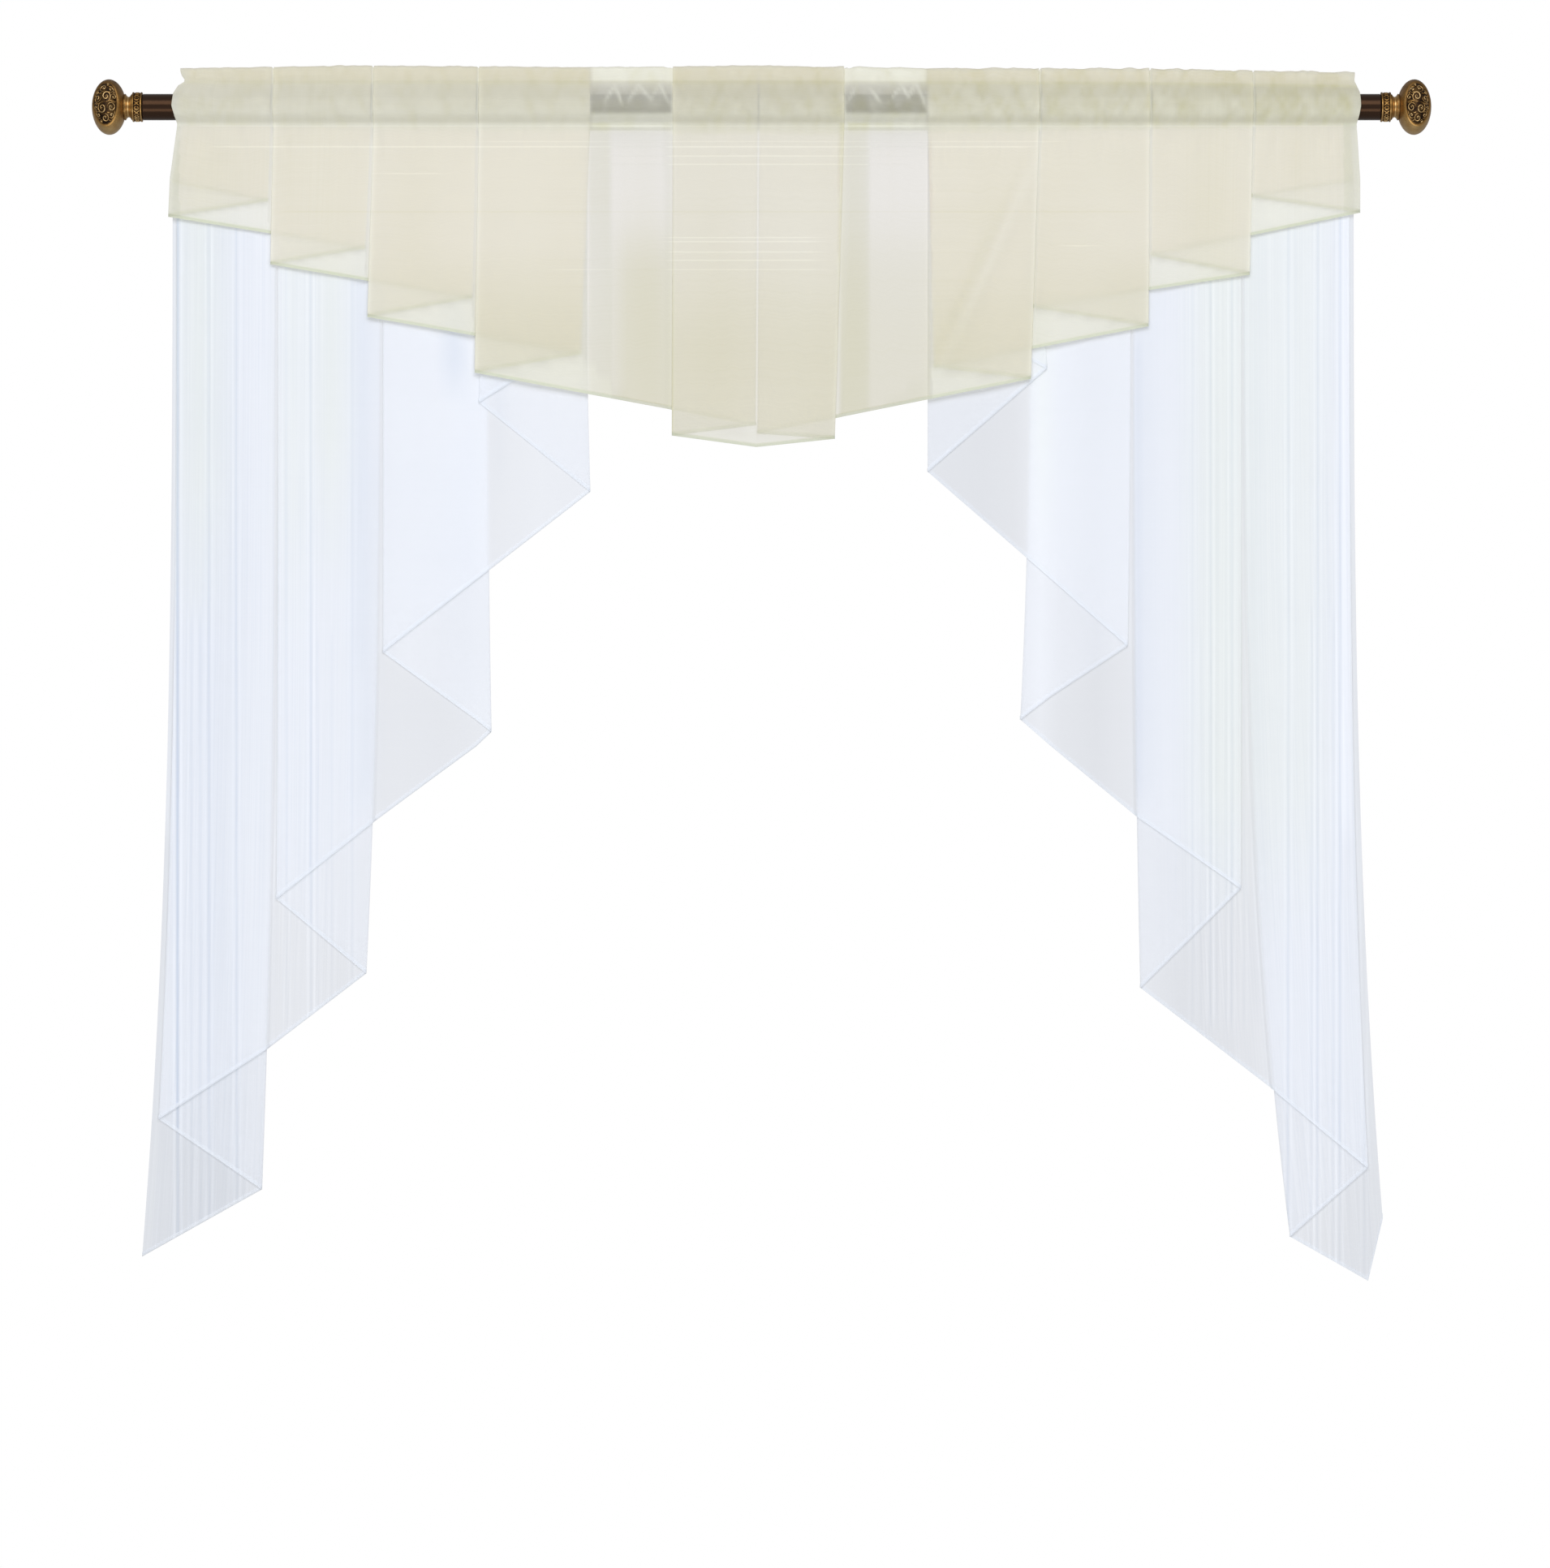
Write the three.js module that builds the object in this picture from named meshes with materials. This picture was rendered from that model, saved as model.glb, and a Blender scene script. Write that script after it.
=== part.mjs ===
import * as THREE from 'three';

// A pleated voile valance with a pleated tail at each side, gathered on one curtain rod.
// Millimetres. X runs along the rod, +Y to the back, +Z up. The origin is at the middle of the rod's axis.

// Rod, collars and finials
const ROD_RADIUS = 12.7;
const ROD_HALF_LENGTH = 600.1;
const FIT_GAP = 0.3;
const ROUND_SIDES = 28;
const COLLAR_WIDTH = 9.4;
const COLLAR_RADIUS = 14.4;
const COLLAR_GROOVE = 0.7;
const COLLAR_RIM = 1.6;
const NECK_SHOULDER_RADIUS = 12.4;
const NECK_RADIUS = 10.4;
const NECK_LENGTH = 8;
const NECK_WAIST = [0.35, 0.65];
const KNOB_RADIUS = 26.8;
const KNOB_HALF_LENGTH = 16.5;
const KNOB_RINGS = 9;

// Cloth: every layer is one thickness of voile, a pitch away from the next where it is pressed together
const CLOTH = 1;
const LAYER_PITCH = 1.4;

// Heading of the valance: a stand-up header over a pocket that runs round the rod
const POCKET_SLACK = 0.4;
const POCKET_RADIUS = ROD_RADIUS + FIT_GAP + POCKET_SLACK + CLOTH / 2;
const POCKET_ARC_STEPS = 3;
const POCKET_SEAM_DROP = 16.5;
const POCKET_SEAM_DEPTH = 4.4;
const FLAP_DROP = 22;
const HEADER_HALF_DEPTH = 0.85;
const HEADER_END_INSET = 7;
const HEADER_INSET_REACH = 70;
const FRONT_LEVEL = 2;
const HEADING = [
  { x: -575, top: 38, seam: 24 },
  { x: -400, top: 41, seam: 24 },
  { x: -160, top: 39.5, seam: 24 },
  { x: 0, top: 41, seam: 24 },
  { x: 165, top: 38, seam: 23.5 },
  { x: 365, top: 38, seam: 22.5 },
  { x: 580, top: 34, seam: 19.7 },
];

// Pleats of the valance, in the order of the cloth from its left side to its right. Each row is a fold or an
// end: its place along the rod at the heading and at the hem, the hem's drop below the rod's axis, and the
// level of the layer that comes to it and of the one that leaves it. Level 0 is next to the rod.
const VALANCE_PLEATS = [
  { head: -566, hem: -571, drop: 74, from: 0, to: 0 },
  { head: -475.4, hem: -478.4, drop: 92, from: 0, to: 1 },
  { head: -571, hem: -575, drop: 107, from: 1, to: 2 },
  { head: -378.4, hem: -384.4, drop: 138, from: 0, to: 1 },
  { head: -473, hem: -476, drop: 153, from: 1, to: 2 },
  { head: -276.4, hem: -280.4, drop: 186, from: 0, to: 1 },
  { head: -376, hem: -382, drop: 204, from: 1, to: 2 },
  { head: -166, hem: -175, drop: 240, from: 0, to: 1 },
  { head: -274, hem: -278, drop: 258, from: 1, to: 2 },
  { head: -3.8, hem: -5.8, drop: 309, from: 0, to: 1 },
  { head: -86, hem: -87, drop: 319, from: 1, to: 2 },
  { head: -3, hem: -5, drop: 330, from: 2, to: 2 },
  { head: 80, hem: 71, drop: 322, from: 2, to: 1 },
  { head: -2.2, hem: -4.2, drop: 317, from: 1, to: 0 },
  { head: 269, hem: 261, drop: 264, from: 2, to: 1 },
  { head: 161, hem: 167, drop: 253, from: 1, to: 0 },
  { head: 376, hem: 375, drop: 213, from: 2, to: 1 },
  { head: 271.4, hem: 263.4, drop: 195, from: 1, to: 0 },
  { head: 476, hem: 473, drop: 163, from: 2, to: 1 },
  { head: 378.4, hem: 377.4, drop: 145, from: 1, to: 0 },
  { head: 580, hem: 580, drop: 103, from: 2, to: 1 },
  { head: 478.4, hem: 475.4, drop: 88, from: 1, to: 0 },
  { head: 574, hem: 574, drop: 72, from: 0, to: 0 },
];
// A face dips behind the pleat that covers it, from this far to this far outside that pleat's front fold, or
// over the shortest run between that fold and a hidden fold that comes up close to it
const DIP_START = 9;
const DIP_END = 2.5;
const DIP_CLEARANCE = 0.4;
const SHORTEST_DIP = 1.6;
const VALANCE_STEP = 95;
const VALANCE_OPENING = 1.6;
const VALANCE_FALL = 330;
const VALANCE_ROWS = [0.14, 0.4, 0.7, 1];

// Pleats of the tails, in the order of the cloth from the inner edge outwards, with the columns above.
// Level 0 is at the front. A row whose levels are the same is an edge or a bend.
const TAIL_STEP = 46;
const TAIL_TOP = 13.6;
const TAIL_FRONT = -2.8;
const TAIL_OPENING = 2.2;
const TAIL_FALL = 1100;
const TAIL_SWING = 3;
const TAIL_ROWS = [0, 0.03, 0.13, 0.28, 0.45, 0.62, 0.8, 0.91, 1];
const LEFT_TAIL_PLEATS = [
  { head: -169, hem: -169, drop: 220, from: 0, to: 0 },
  { head: -271, hem: -274, drop: 287, from: 0, to: 1 },
  { head: -170, hem: -166, drop: 373, from: 1, to: 2 },
  { head: -275, hem: -277, drop: 459, from: 2, to: 2 },
  { head: -367, hem: -367, drop: 529, from: 0, to: 1 },
  { head: -275, hem: -277, drop: 594, from: 3, to: 3 },
  { head: -266, hem: -262, drop: 606, from: 3, to: 4 },
  { head: -275, hem: -277, drop: 620, from: 4, to: 4 },
  { head: -367.4, hem: -375, drop: 692.5, from: 2, to: 2 },
  { head: -369, hem: -376.6, drop: 694, from: 0, to: 0 },
  { head: -469, hem: -471, drop: 768, from: 0, to: 1 },
  { head: -369.4, hem: -383, drop: 840, from: 1, to: 2 },
  { head: -469.4, hem: -478.3, drop: 912.5, from: 2, to: 2 },
  { head: -471, hem: -479.9, drop: 914, from: 0, to: 0 },
  { head: -567, hem: -584, drop: 981, from: 0, to: 1 },
  { head: -471.4, hem: -485, drop: 1050, from: 1, to: 2 },
  { head: -571, hem: -600, drop: 1114, from: 2, to: 2 },
];
const RIGHT_TAIL_PLEATS = [
  { head: 163, hem: 163, drop: 195, from: 0, to: 0 },
  { head: 270, hem: 277, drop: 254, from: 0, to: 1 },
  { head: 161, hem: 161, drop: 354, from: 1, to: 2 },
  { head: 273, hem: 280, drop: 457, from: 2, to: 2 },
  { head: 358, hem: 355, drop: 523, from: 0, to: 1 },
  { head: 273, hem: 280, drop: 572, from: 3, to: 3 },
  { head: 261, hem: 251, drop: 594, from: 3, to: 4 },
  { head: 273, hem: 280, drop: 619, from: 4, to: 4 },
  { head: 358.4, hem: 361.8, drop: 686.5, from: 2, to: 2 },
  { head: 360, hem: 363.4, drop: 688, from: 0, to: 0 },
  { head: 465, hem: 465, drop: 758, from: 0, to: 1 },
  { head: 360.4, hem: 367, drop: 854, from: 1, to: 2 },
  { head: 465.4, hem: 494, drop: 951, from: 2, to: 2 },
  { head: 467, hem: 495.6, drop: 952.5, from: 0, to: 0 },
  { head: 570, hem: 588, drop: 1029, from: 0, to: 1 },
  { head: 467.4, hem: 513, drop: 1096, from: 1, to: 2 },
  { head: 562, hem: 588, drop: 1138, from: 2, to: 2 },
  { head: 574, hem: 602, drop: 1078, from: 2, to: 2 },
];

// The hanging cloth bows a little to the front and back, more the lower it hangs
const BOW_DEPTH = 9;
const BOW_WIDTH = 250;
const BOW_LEAN = 900;
const BOW_START = 150;

const clamp01 = (value) => Math.min(1, Math.max(0, value));
const mix = (a, b, share) => a + (b - a) * share;
const ease = (value) => clamp01(value) ** 2 * (3 - 2 * clamp01(value));

// Distance between layers, which open a little as they fall away from the seam
function layerPitch(drop, opening, fall) {
  return LAYER_PITCH + opening * clamp01((drop - POCKET_SEAM_DROP) / fall);
}

function bow(x, drop) {
  const growth = clamp01((drop - BOW_START) / TAIL_FALL);
  return BOW_DEPTH * growth * Math.sin((2 * Math.PI * x) / BOW_WIDTH + drop / BOW_LEAN);
}

// A row of the heading table at any place along the rod
function headingAt(x) {
  const next = HEADING.findIndex((row) => row.x >= x);
  const right = HEADING[next < 0 ? HEADING.length - 1 : Math.max(next, 1)];
  const left = HEADING[HEADING.indexOf(right) - 1];
  const share = clamp01((x - left.x) / (right.x - left.x));
  return { top: mix(left.top, right.top, share), seam: mix(left.seam, right.seam, share) };
}

// Angle, from +Y, of the point where a line from (y, z) touches the pocket's circle
function touchAngle(y, z) {
  const turn = Math.acos(POCKET_RADIUS / Math.hypot(y, z));
  return Math.atan2(z, y) - Math.sign(z) * turn;
}

// Section of the layer next to the rod, from the flap behind it over the header to the front seam. Each point
// has the direction in which the outer layers lie.
function headingSection(x) {
  const { top, seam } = headingAt(x);
  const crown = top - CLOTH / 2 - FRONT_LEVEL * LAYER_PITCH;
  const low = touchAngle(POCKET_SEAM_DEPTH, -POCKET_SEAM_DROP);
  const high = touchAngle(HEADER_HALF_DEPTH, seam);
  const back = [
    { y: POCKET_SEAM_DEPTH, z: -FLAP_DROP, angle: 0 },
    { y: POCKET_SEAM_DEPTH, z: -POCKET_SEAM_DROP, angle: low / 2 },
  ];
  for (let step = 0; step <= POCKET_ARC_STEPS; step += 1) {
    const angle = mix(low, high, step / POCKET_ARC_STEPS);
    back.push({ y: POCKET_RADIUS * Math.cos(angle), z: POCKET_RADIUS * Math.sin(angle), angle });
  }
  const shoulder = crown - HEADER_HALF_DEPTH;
  const slant = Math.SQRT1_2 * HEADER_HALF_DEPTH;
  back.push({ y: HEADER_HALF_DEPTH, z: seam, angle: high / 2 });
  back.push({ y: HEADER_HALF_DEPTH, z: shoulder, angle: 0 });
  back.push({ y: slant, z: shoulder + slant, angle: Math.PI / 4 });
  const front = back.map((point) => ({ ...point, y: -point.y, angle: Math.PI - point.angle })).reverse();
  return [...back, { y: 0, z: crown, angle: Math.PI / 2 }, ...front.slice(0, -1)];
}

// The header is drawn in at both ends, so the pocket stands out past it
function headerInset(x) {
  const reach = Math.abs(x) - (Math.abs(HEADING[0].x) - HEADER_INSET_REACH);
  return -Math.sign(x) * HEADER_END_INSET * ease(reach / HEADER_INSET_REACH);
}

// Columns of a pleated cloth: a round turn at each fold, and plain steps along the faces between
function pleatColumns(rows, longestStep) {
  const columns = [];
  const turn = LAYER_PITCH / 2;
  const stepFrom = (a, b) => {
    const steps = Math.ceil(Math.abs(b.head - a.head) / longestStep);
    for (let step = 1; step < steps; step += 1) {
      const share = step / steps;
      const column = { level: mix(a.level, b.level, share) };
      for (const key of ['head', 'hem', 'drop']) {
        column[key] = mix(a[key], b[key], share);
      }
      columns.push(column);
    }
  };
  rows.forEach((row, index) => {
    const before = rows[index - 1];
    const folded = row.from !== row.to;
    const inward = folded ? Math.sign(before.head - row.head) : 0;
    const moved = (distance, level) => ({
      head: row.head + inward * distance,
      hem: row.hem + inward * distance,
      drop: row.drop,
      level,
    });
    const arrival = moved(CLOTH / 2 + turn, row.from);
    if (index > 0) {
      stepFrom(columns[columns.length - 1], arrival);
    }
    columns.push(arrival);
    if (folded) {
      columns.push(moved(CLOTH / 2, (row.from + row.to) / 2));
      columns.push(moved(CLOTH / 2 + turn, row.to));
    }
  });
  return columns;
}

// The valance's rows with the bends where a face dips behind the next pleat
function withDips(rows) {
  const result = [];
  rows.forEach((row, index) => {
    const before = rows[index - 1];
    if (index > 0 && Math.abs(before.to - row.from) === FRONT_LEVEL) {
      const goesBack = row.from === 0;
      const cover = goesBack ? rows[index + 1] : rows[index - 2];
      const neighbour = goesBack ? rows[index - 2] : rows[index + 1];
      const side = goesBack ? -1 : 1;
      const start = Math.min(DIP_START, Math.abs(neighbour.head - cover.head) - DIP_CLEARANCE);
      const end = Math.min(DIP_END, start - SHORTEST_DIP);
      const bend = (distance, level) => {
        const hem = cover.hem + side * distance;
        const drop = mix(before.drop, row.drop, (hem - before.hem) / (row.hem - before.hem));
        return { head: cover.head + side * distance, hem, drop, from: level, to: level };
      };
      const bends = [bend(start, FRONT_LEVEL), bend(end, 0)];
      result.push(...(goesBack ? bends : bends.reverse()));
    }
    result.push(row);
  });
  return result;
}

// Closed solid of a sheet whose middle surface is a grid of points, columns by rows. Layers that run to the
// left are split along the same diagonals as those that run to the right, so that they keep their distance.
function thickSheet(grid, thickness) {
  const columnCount = grid.length;
  const rowCount = grid[0].length;
  const positions = [];
  const across = new THREE.Vector3();
  const down = new THREE.Vector3();
  for (const side of [1, -1]) {
    for (let i = 0; i < columnCount; i += 1) {
      for (let j = 0; j < rowCount; j += 1) {
        const column = grid[i];
        across.subVectors(grid[Math.min(i + 1, columnCount - 1)][j], grid[Math.max(i - 1, 0)][j]);
        down.subVectors(column[Math.min(j + 1, rowCount - 1)], column[Math.max(j - 1, 0)]);
        const normal = across.cross(down).normalize();
        positions.push(...normal.multiplyScalar((side * thickness) / 2).add(column[j]).toArray());
      }
    }
  }
  const backStart = columnCount * rowCount;
  const at = (i, j) => i * rowCount + j;
  const indices = [];
  const quad = (a, b, c, d) => indices.push(a, b, c, a, c, d);
  for (let i = 0; i < columnCount - 1; i += 1) {
    for (let j = 0; j < rowCount - 1; j += 1) {
      const corners = [at(i, j), at(i + 1, j), at(i + 1, j + 1), at(i, j + 1)];
      if (grid[i + 1][j].x < grid[i][j].x) {
        corners.push(corners.shift());
      }
      const [a, b, c, d] = corners;
      quad(a, b, c, d);
      quad(...[a, d, c, b].map((corner) => corner + backStart));
    }
  }
  const rim = (a, b) => quad(b, a, a + backStart, b + backStart);
  for (let i = 0; i < columnCount - 1; i += 1) {
    rim(at(i, 0), at(i + 1, 0));
    rim(at(i + 1, rowCount - 1), at(i, rowCount - 1));
  }
  for (let j = 0; j < rowCount - 1; j += 1) {
    rim(at(0, j + 1), at(0, j));
    rim(at(columnCount - 1, j), at(columnCount - 1, j + 1));
  }
  const geometry = new THREE.BufferGeometry();
  geometry.setAttribute('position', new THREE.Float32BufferAttribute(positions, 3));
  geometry.setIndex(indices);
  geometry.computeVertexNormals();
  return geometry;
}

function valanceGeometry() {
  const grid = pleatColumns(withDips(VALANCE_PLEATS), VALANCE_STEP).map(({ head, hem, drop, level }) => {
    const { seam } = headingAt(head);
    const points = headingSection(head).map(({ y, z, angle }) => {
      const x = head + (z >= seam ? headerInset(head) : 0);
      const reach = level * LAYER_PITCH;
      return new THREE.Vector3(x, y + reach * Math.cos(angle), z + reach * Math.sin(angle));
    });
    for (const share of VALANCE_ROWS) {
      const x = mix(head, hem, share);
      const fall = mix(POCKET_SEAM_DROP, drop, share);
      const pitch = layerPitch(fall, VALANCE_OPENING, VALANCE_FALL);
      points.push(new THREE.Vector3(x, -POCKET_SEAM_DEPTH - level * pitch + bow(x, fall), -fall));
    }
    return points;
  });
  return thickSheet(grid, CLOTH);
}

function tailGeometry(pleats) {
  const columns = pleatColumns(pleats, TAIL_STEP);
  const grid = columns.map(({ head, hem, drop, level }) => TAIL_ROWS.map((share) => {
    const x = mix(head, hem, share ** TAIL_SWING);
    const fall = mix(TAIL_TOP, drop, share);
    const pitch = layerPitch(fall, TAIL_OPENING, TAIL_FALL);
    return new THREE.Vector3(x, TAIL_FRONT + level * pitch + bow(x, fall), -fall);
  }));
  return thickSheet(grid, CLOTH);
}

// Turned pieces: profiles of radius against distance from the middle of the rod
function turned(profile) {
  return new THREE.LatheGeometry(profile.map(([radius, along]) => new THREE.Vector2(radius, along)), ROUND_SIDES);
}

function collarGeometry() {
  const start = ROD_HALF_LENGTH + FIT_GAP;
  const end = start + COLLAR_WIDTH;
  const groove = COLLAR_RADIUS - COLLAR_GROOVE;
  return turned([
    [0, start],
    [COLLAR_RADIUS, start],
    [COLLAR_RADIUS, start + COLLAR_RIM],
    [groove, start + COLLAR_RIM + COLLAR_GROOVE],
    [groove, end - COLLAR_RIM - COLLAR_GROOVE],
    [COLLAR_RADIUS, end - COLLAR_RIM],
    [COLLAR_RADIUS, end],
    [0, end],
  ]);
}

function finialGeometry() {
  const start = ROD_HALF_LENGTH + COLLAR_WIDTH + 2 * FIT_GAP;
  const neckEnd = start + NECK_LENGTH;
  const profile = [
    [0, start],
    [NECK_SHOULDER_RADIUS, start],
    ...NECK_WAIST.map((share) => [NECK_RADIUS, start + NECK_LENGTH * share]),
  ];
  const knobStart = Math.asin(NECK_SHOULDER_RADIUS / KNOB_RADIUS);
  const middle = neckEnd + KNOB_HALF_LENGTH * Math.cos(knobStart);
  for (let ring = 0; ring < KNOB_RINGS; ring += 1) {
    const angle = mix(knobStart, Math.PI, ring / KNOB_RINGS);
    profile.push([KNOB_RADIUS * Math.sin(angle), middle - KNOB_HALF_LENGTH * Math.cos(angle)]);
  }
  profile.push([0, middle + KNOB_HALF_LENGTH]);
  return turned(profile);
}

function piece(name, geometry, look) {
  const mesh = new THREE.Mesh(geometry, new THREE.MeshStandardMaterial(look));
  mesh.name = name;
  return mesh;
}

const bronze = { color: 0x86683f, roughness: 0.45, metalness: 0.8 };
const whiteVoile = { color: 0xeef2f6, roughness: 0.9, metalness: 0 };

const curtain = new THREE.Group();
curtain.add(piece('valance', valanceGeometry(), { color: 0xe6e3d3, roughness: 0.9, metalness: 0 }));
curtain.add(piece('tail_left', tailGeometry(LEFT_TAIL_PLEATS), whiteVoile));
curtain.add(piece('tail_right', tailGeometry(RIGHT_TAIL_PLEATS), whiteVoile));

const rodGeometry = new THREE.CylinderGeometry(ROD_RADIUS, ROD_RADIUS, 2 * ROD_HALF_LENGTH, ROUND_SIDES);
const rod = piece('rod', rodGeometry, { color: 0x2c211a, roughness: 0.3, metalness: 0.4 });
rod.rotation.z = Math.PI / 2;
curtain.add(rod);

for (const [side, turn] of [['left', Math.PI / 2], ['right', -Math.PI / 2]]) {
  const collar = piece(`collar_${side}`, collarGeometry(), bronze);
  const finial = piece(`finial_${side}`, finialGeometry(), bronze);
  collar.rotation.z = turn;
  finial.rotation.z = turn;
  curtain.add(collar, finial);
}

export default curtain;
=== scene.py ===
import math
from collections import namedtuple

import bpy
import numpy as np
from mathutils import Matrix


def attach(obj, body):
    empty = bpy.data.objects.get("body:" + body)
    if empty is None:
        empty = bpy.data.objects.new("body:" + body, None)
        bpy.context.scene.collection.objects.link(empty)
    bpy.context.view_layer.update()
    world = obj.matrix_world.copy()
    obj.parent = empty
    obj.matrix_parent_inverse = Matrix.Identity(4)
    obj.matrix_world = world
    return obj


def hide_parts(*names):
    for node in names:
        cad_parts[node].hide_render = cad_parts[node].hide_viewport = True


# A pleated voile valance and two pleated tails on one curtain rod, hung in front of a white backdrop.
# Sizes are in millimetres and MM turns them into metres. X runs along the rod, +Y to the back, +Z up.

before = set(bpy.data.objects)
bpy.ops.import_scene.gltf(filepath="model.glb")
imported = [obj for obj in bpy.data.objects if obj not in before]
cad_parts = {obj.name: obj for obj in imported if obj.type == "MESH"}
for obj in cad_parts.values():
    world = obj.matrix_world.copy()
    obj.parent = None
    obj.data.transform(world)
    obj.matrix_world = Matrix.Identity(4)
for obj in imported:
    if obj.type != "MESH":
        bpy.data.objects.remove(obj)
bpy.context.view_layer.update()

MM = 0.001


def table(row_type, rows):
    """Rows with the named columns of a row type."""
    return [row_type(*row) for row in rows]


# Photograph: its frame, the size of one pixel, and the pixel that shows the middle of the rod
IMAGE_WIDTH = 1910
IMAGE_HEIGHT = 1932
PIXEL_SIZE = 0.787
ROD_MIDDLE_COLUMN = 938.5
ROD_MIDDLE_ROW = 132

# Rod and collars
ROD_RADIUS = 12.7
ROD_HALF_LENGTH = 600.1
ROD_BEVEL = 0.8
ROD_RINGS = 41
TURNED_SIDES = 96
FIT_GAP = 0.3
COLLAR_START = ROD_HALF_LENGTH + FIT_GAP
COLLAR_WIDTH = 9.4
COLLAR_RADIUS = 14.4
COLLAR_GROOVE = 1.1
COLLAR_RIM = 1.5
COLLAR_BEVEL = 0.3
# Crosses and rings in the collar's groove. Turns and reaches are shares of a repeat, and the span is a
# share of half the groove's width.
COLLAR_REPEATS = 9
COLLAR_TURN = 0.25
COLLAR_BAR_LIFT = 0.25
COLLAR_BAR_MARGIN = 0.4
COLLAR_BAR_TAPER = 0.4
CROSS_REACH = 0.24
CROSS_BAR_RADIUS = 0.75
CROSS_POINTS = 10
RING_REACH = 0.15
RING_SPAN = 0.72
RING_BAR_RADIUS = 0.7
RING_POINTS = 18

# Finials
NECK_SHOULDER_RADIUS = 12.4
NECK_RADIUS = 9.9
NECK_LENGTH = 8
NECK_BEVEL = 0.5
NECK_WAIST = (0.12, 0.78)
NECK_WAIST_RINGS = 12
NECK_WAIST_CURVE = 0.8
NECK_BEAD = 0.7
NECK_BEAD_INSET = 0.3
# The bead is kept dark as a painted shadow under the knob's shoulder
NECK_BEAD_WEAR_AND_SHADOW = (0.12, 0.2, 0.3, 0.34, 0.3, 0.2, 0.1)
KNOB_RADIUS = 26.8
KNOB_HALF_LENGTH = 16.5
KNOB_PROFILE_RADIUS = 20
KNOB_RELIEF = 1.5
KNOB_SIDES = 128
KNOB_RINGS = 52
KNOB_TIP_ANGLE = 0.02
KNOB_START = COLLAR_START + COLLAR_WIDTH + FIT_GAP
KNOB_SHOULDER = math.asin(NECK_SHOULDER_RADIUS / KNOB_RADIUS)
KNOB_MIDDLE = KNOB_START + NECK_LENGTH + KNOB_HALF_LENGTH * math.cos(KNOB_SHOULDER)
# Oval hollow of the scrollwork: its half sizes, its place, and the shares of them where its edge rises
MEDALLION_AROUND = 25.4
MEDALLION_ACROSS = 17.4
MEDALLION_RISE = 2.6
MEDALLION_SHIFT = 3.2
MEDALLION_EDGE = (0.94, 1.04)
BAR_SIDES = 7
BAR_TIP = 0.04
SCROLL_TAPER = 0.5
SCROLL_POINTS = 34
SCROLL_EYE = 0.18
SCROLL_LIFT = 0.45
# Radius of a scroll's bar, and how much it grows with the scroll's own
SCROLL_BAR_RADIUS = 0.5
SCROLL_GROWTH = 0.02
LEAF_POINTS = 12
LEAF_SKEW = 0.4
LEAF_LIFT = 0.3
BUD_RADIUS = 0.7
BUD_LIFT = 0.2
BUD_SIDES = 10
BUD_RINGS = 5
BUD_TIP_ANGLE = 0.48 * math.pi
# Wear, which on turned ones is also painted light. A pair runs from low to high on a raised form, and from
# the front to the top of a turned one, darker at the top as painted shade and brighter underneath as
# painted reflection.
LEAST_WEAR = 0.05
BAR_WEAR = (0.55, 1.05)
SCROLL_WEAR = 0.7
LEAF_WEAR = 0.55
BUD_WEAR = (0.35, 0.95)
HOLLOW_WEAR = 0.04
KNOB_WEAR_AND_SHADE = (0.4, 0.16)
COLLAR_WEAR_AND_SHADE = (0.9, 0.5)
COLLAR_BAR_WEAR_AND_SHADE = (0.45, 0.25)

# A scroll of half a medallion: its eye, its radius, its turns, the angle where it starts and its hand
Scroll = namedtuple("Scroll", "around across radius turns start hand")
SCROLLS = table(Scroll, [
    (6.2, -2.6, 6.4, 1.6, 2.74, 1),
    (5.4, 9.6, 5.4, 1.5, -1.5, -1),
    (16.6, 1.4, 4.8, 1.4, -2.77, -1),
    (14.6, -8.2, 3.9, 1.3, 2.55, 1),
    (14.2, 9.4, 3.4, 1.2, -1.28, 1),
    (6.4, -12.2, 3.6, 1.2, 1.59, -1),
    (21.6, -3.6, 2.1, 1.0, 2.36, 1),
])
# A leaf of half a medallion: where it starts and ends, how far it bends aside, and its bar's radius
Leaf = namedtuple("Leaf", "around_from across_from around_to across_to bend bar_radius")
LEAVES = table(Leaf, [
    (-0.8, 8.5, -1.2, 15.5, 0.8, 0.65),
    (10.2, 3.4, 10.6, 7.6, 0.5, 0.6),
    (18.2, -5.0, 18.6, -10.0, 0.5, 0.6),
    (18.6, 5.8, 20.2, 8.6, 0.5, 0.6),
    (9.6, 13.4, 13.4, 12.9, 0.5, 0.6),
    (9.8, -12.8, 12.8, -11.8, 0.5, 0.6),
    (0.4, -5.6, 1.6, -13.6, 0.7, 0.65),
    (10.6, -4.6, 10.4, -8.4, 0.4, 0.6),
])

# Cloth: the distance of its layers, its folds, and its hem with rows as shares of the hem's width
LAYER_PITCH = 0.6
TURN_RADIUS = 0.3
TURN_COLUMNS = 5
HEM_WIDTH = 3.7
HEM_OFFSET = 0.4
HEM_FACE = np.array([0.55, 0.03, 0])
HEM_STRIP = np.array([0.04, 0.55, 1.0])
SHORTEST_HEM_RUN = 0.2
STEEPEST_HEM = 1.5

# Heading of the valance
POCKET_RADIUS = 13.9
SEAM_DROP = 16.5
SEAM_DEPTH = 4.4
FLAP_DROP = 22
HEADER_HALF_DEPTH = 0.85
CROWN_INSET = 2.4
# Height of the header's edge and of the stitching under it, at a place along the rod
Heading = namedtuple("Heading", "x top stitch")
HEADING = table(Heading, [
    (-575, 38, 24),
    (-400, 41, 24),
    (-160, 39.5, 24),
    (0, 41, 24),
    (165, 38, 23.5),
    (365, 38, 22.5),
    (580, 34, 19.7),
])
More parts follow.
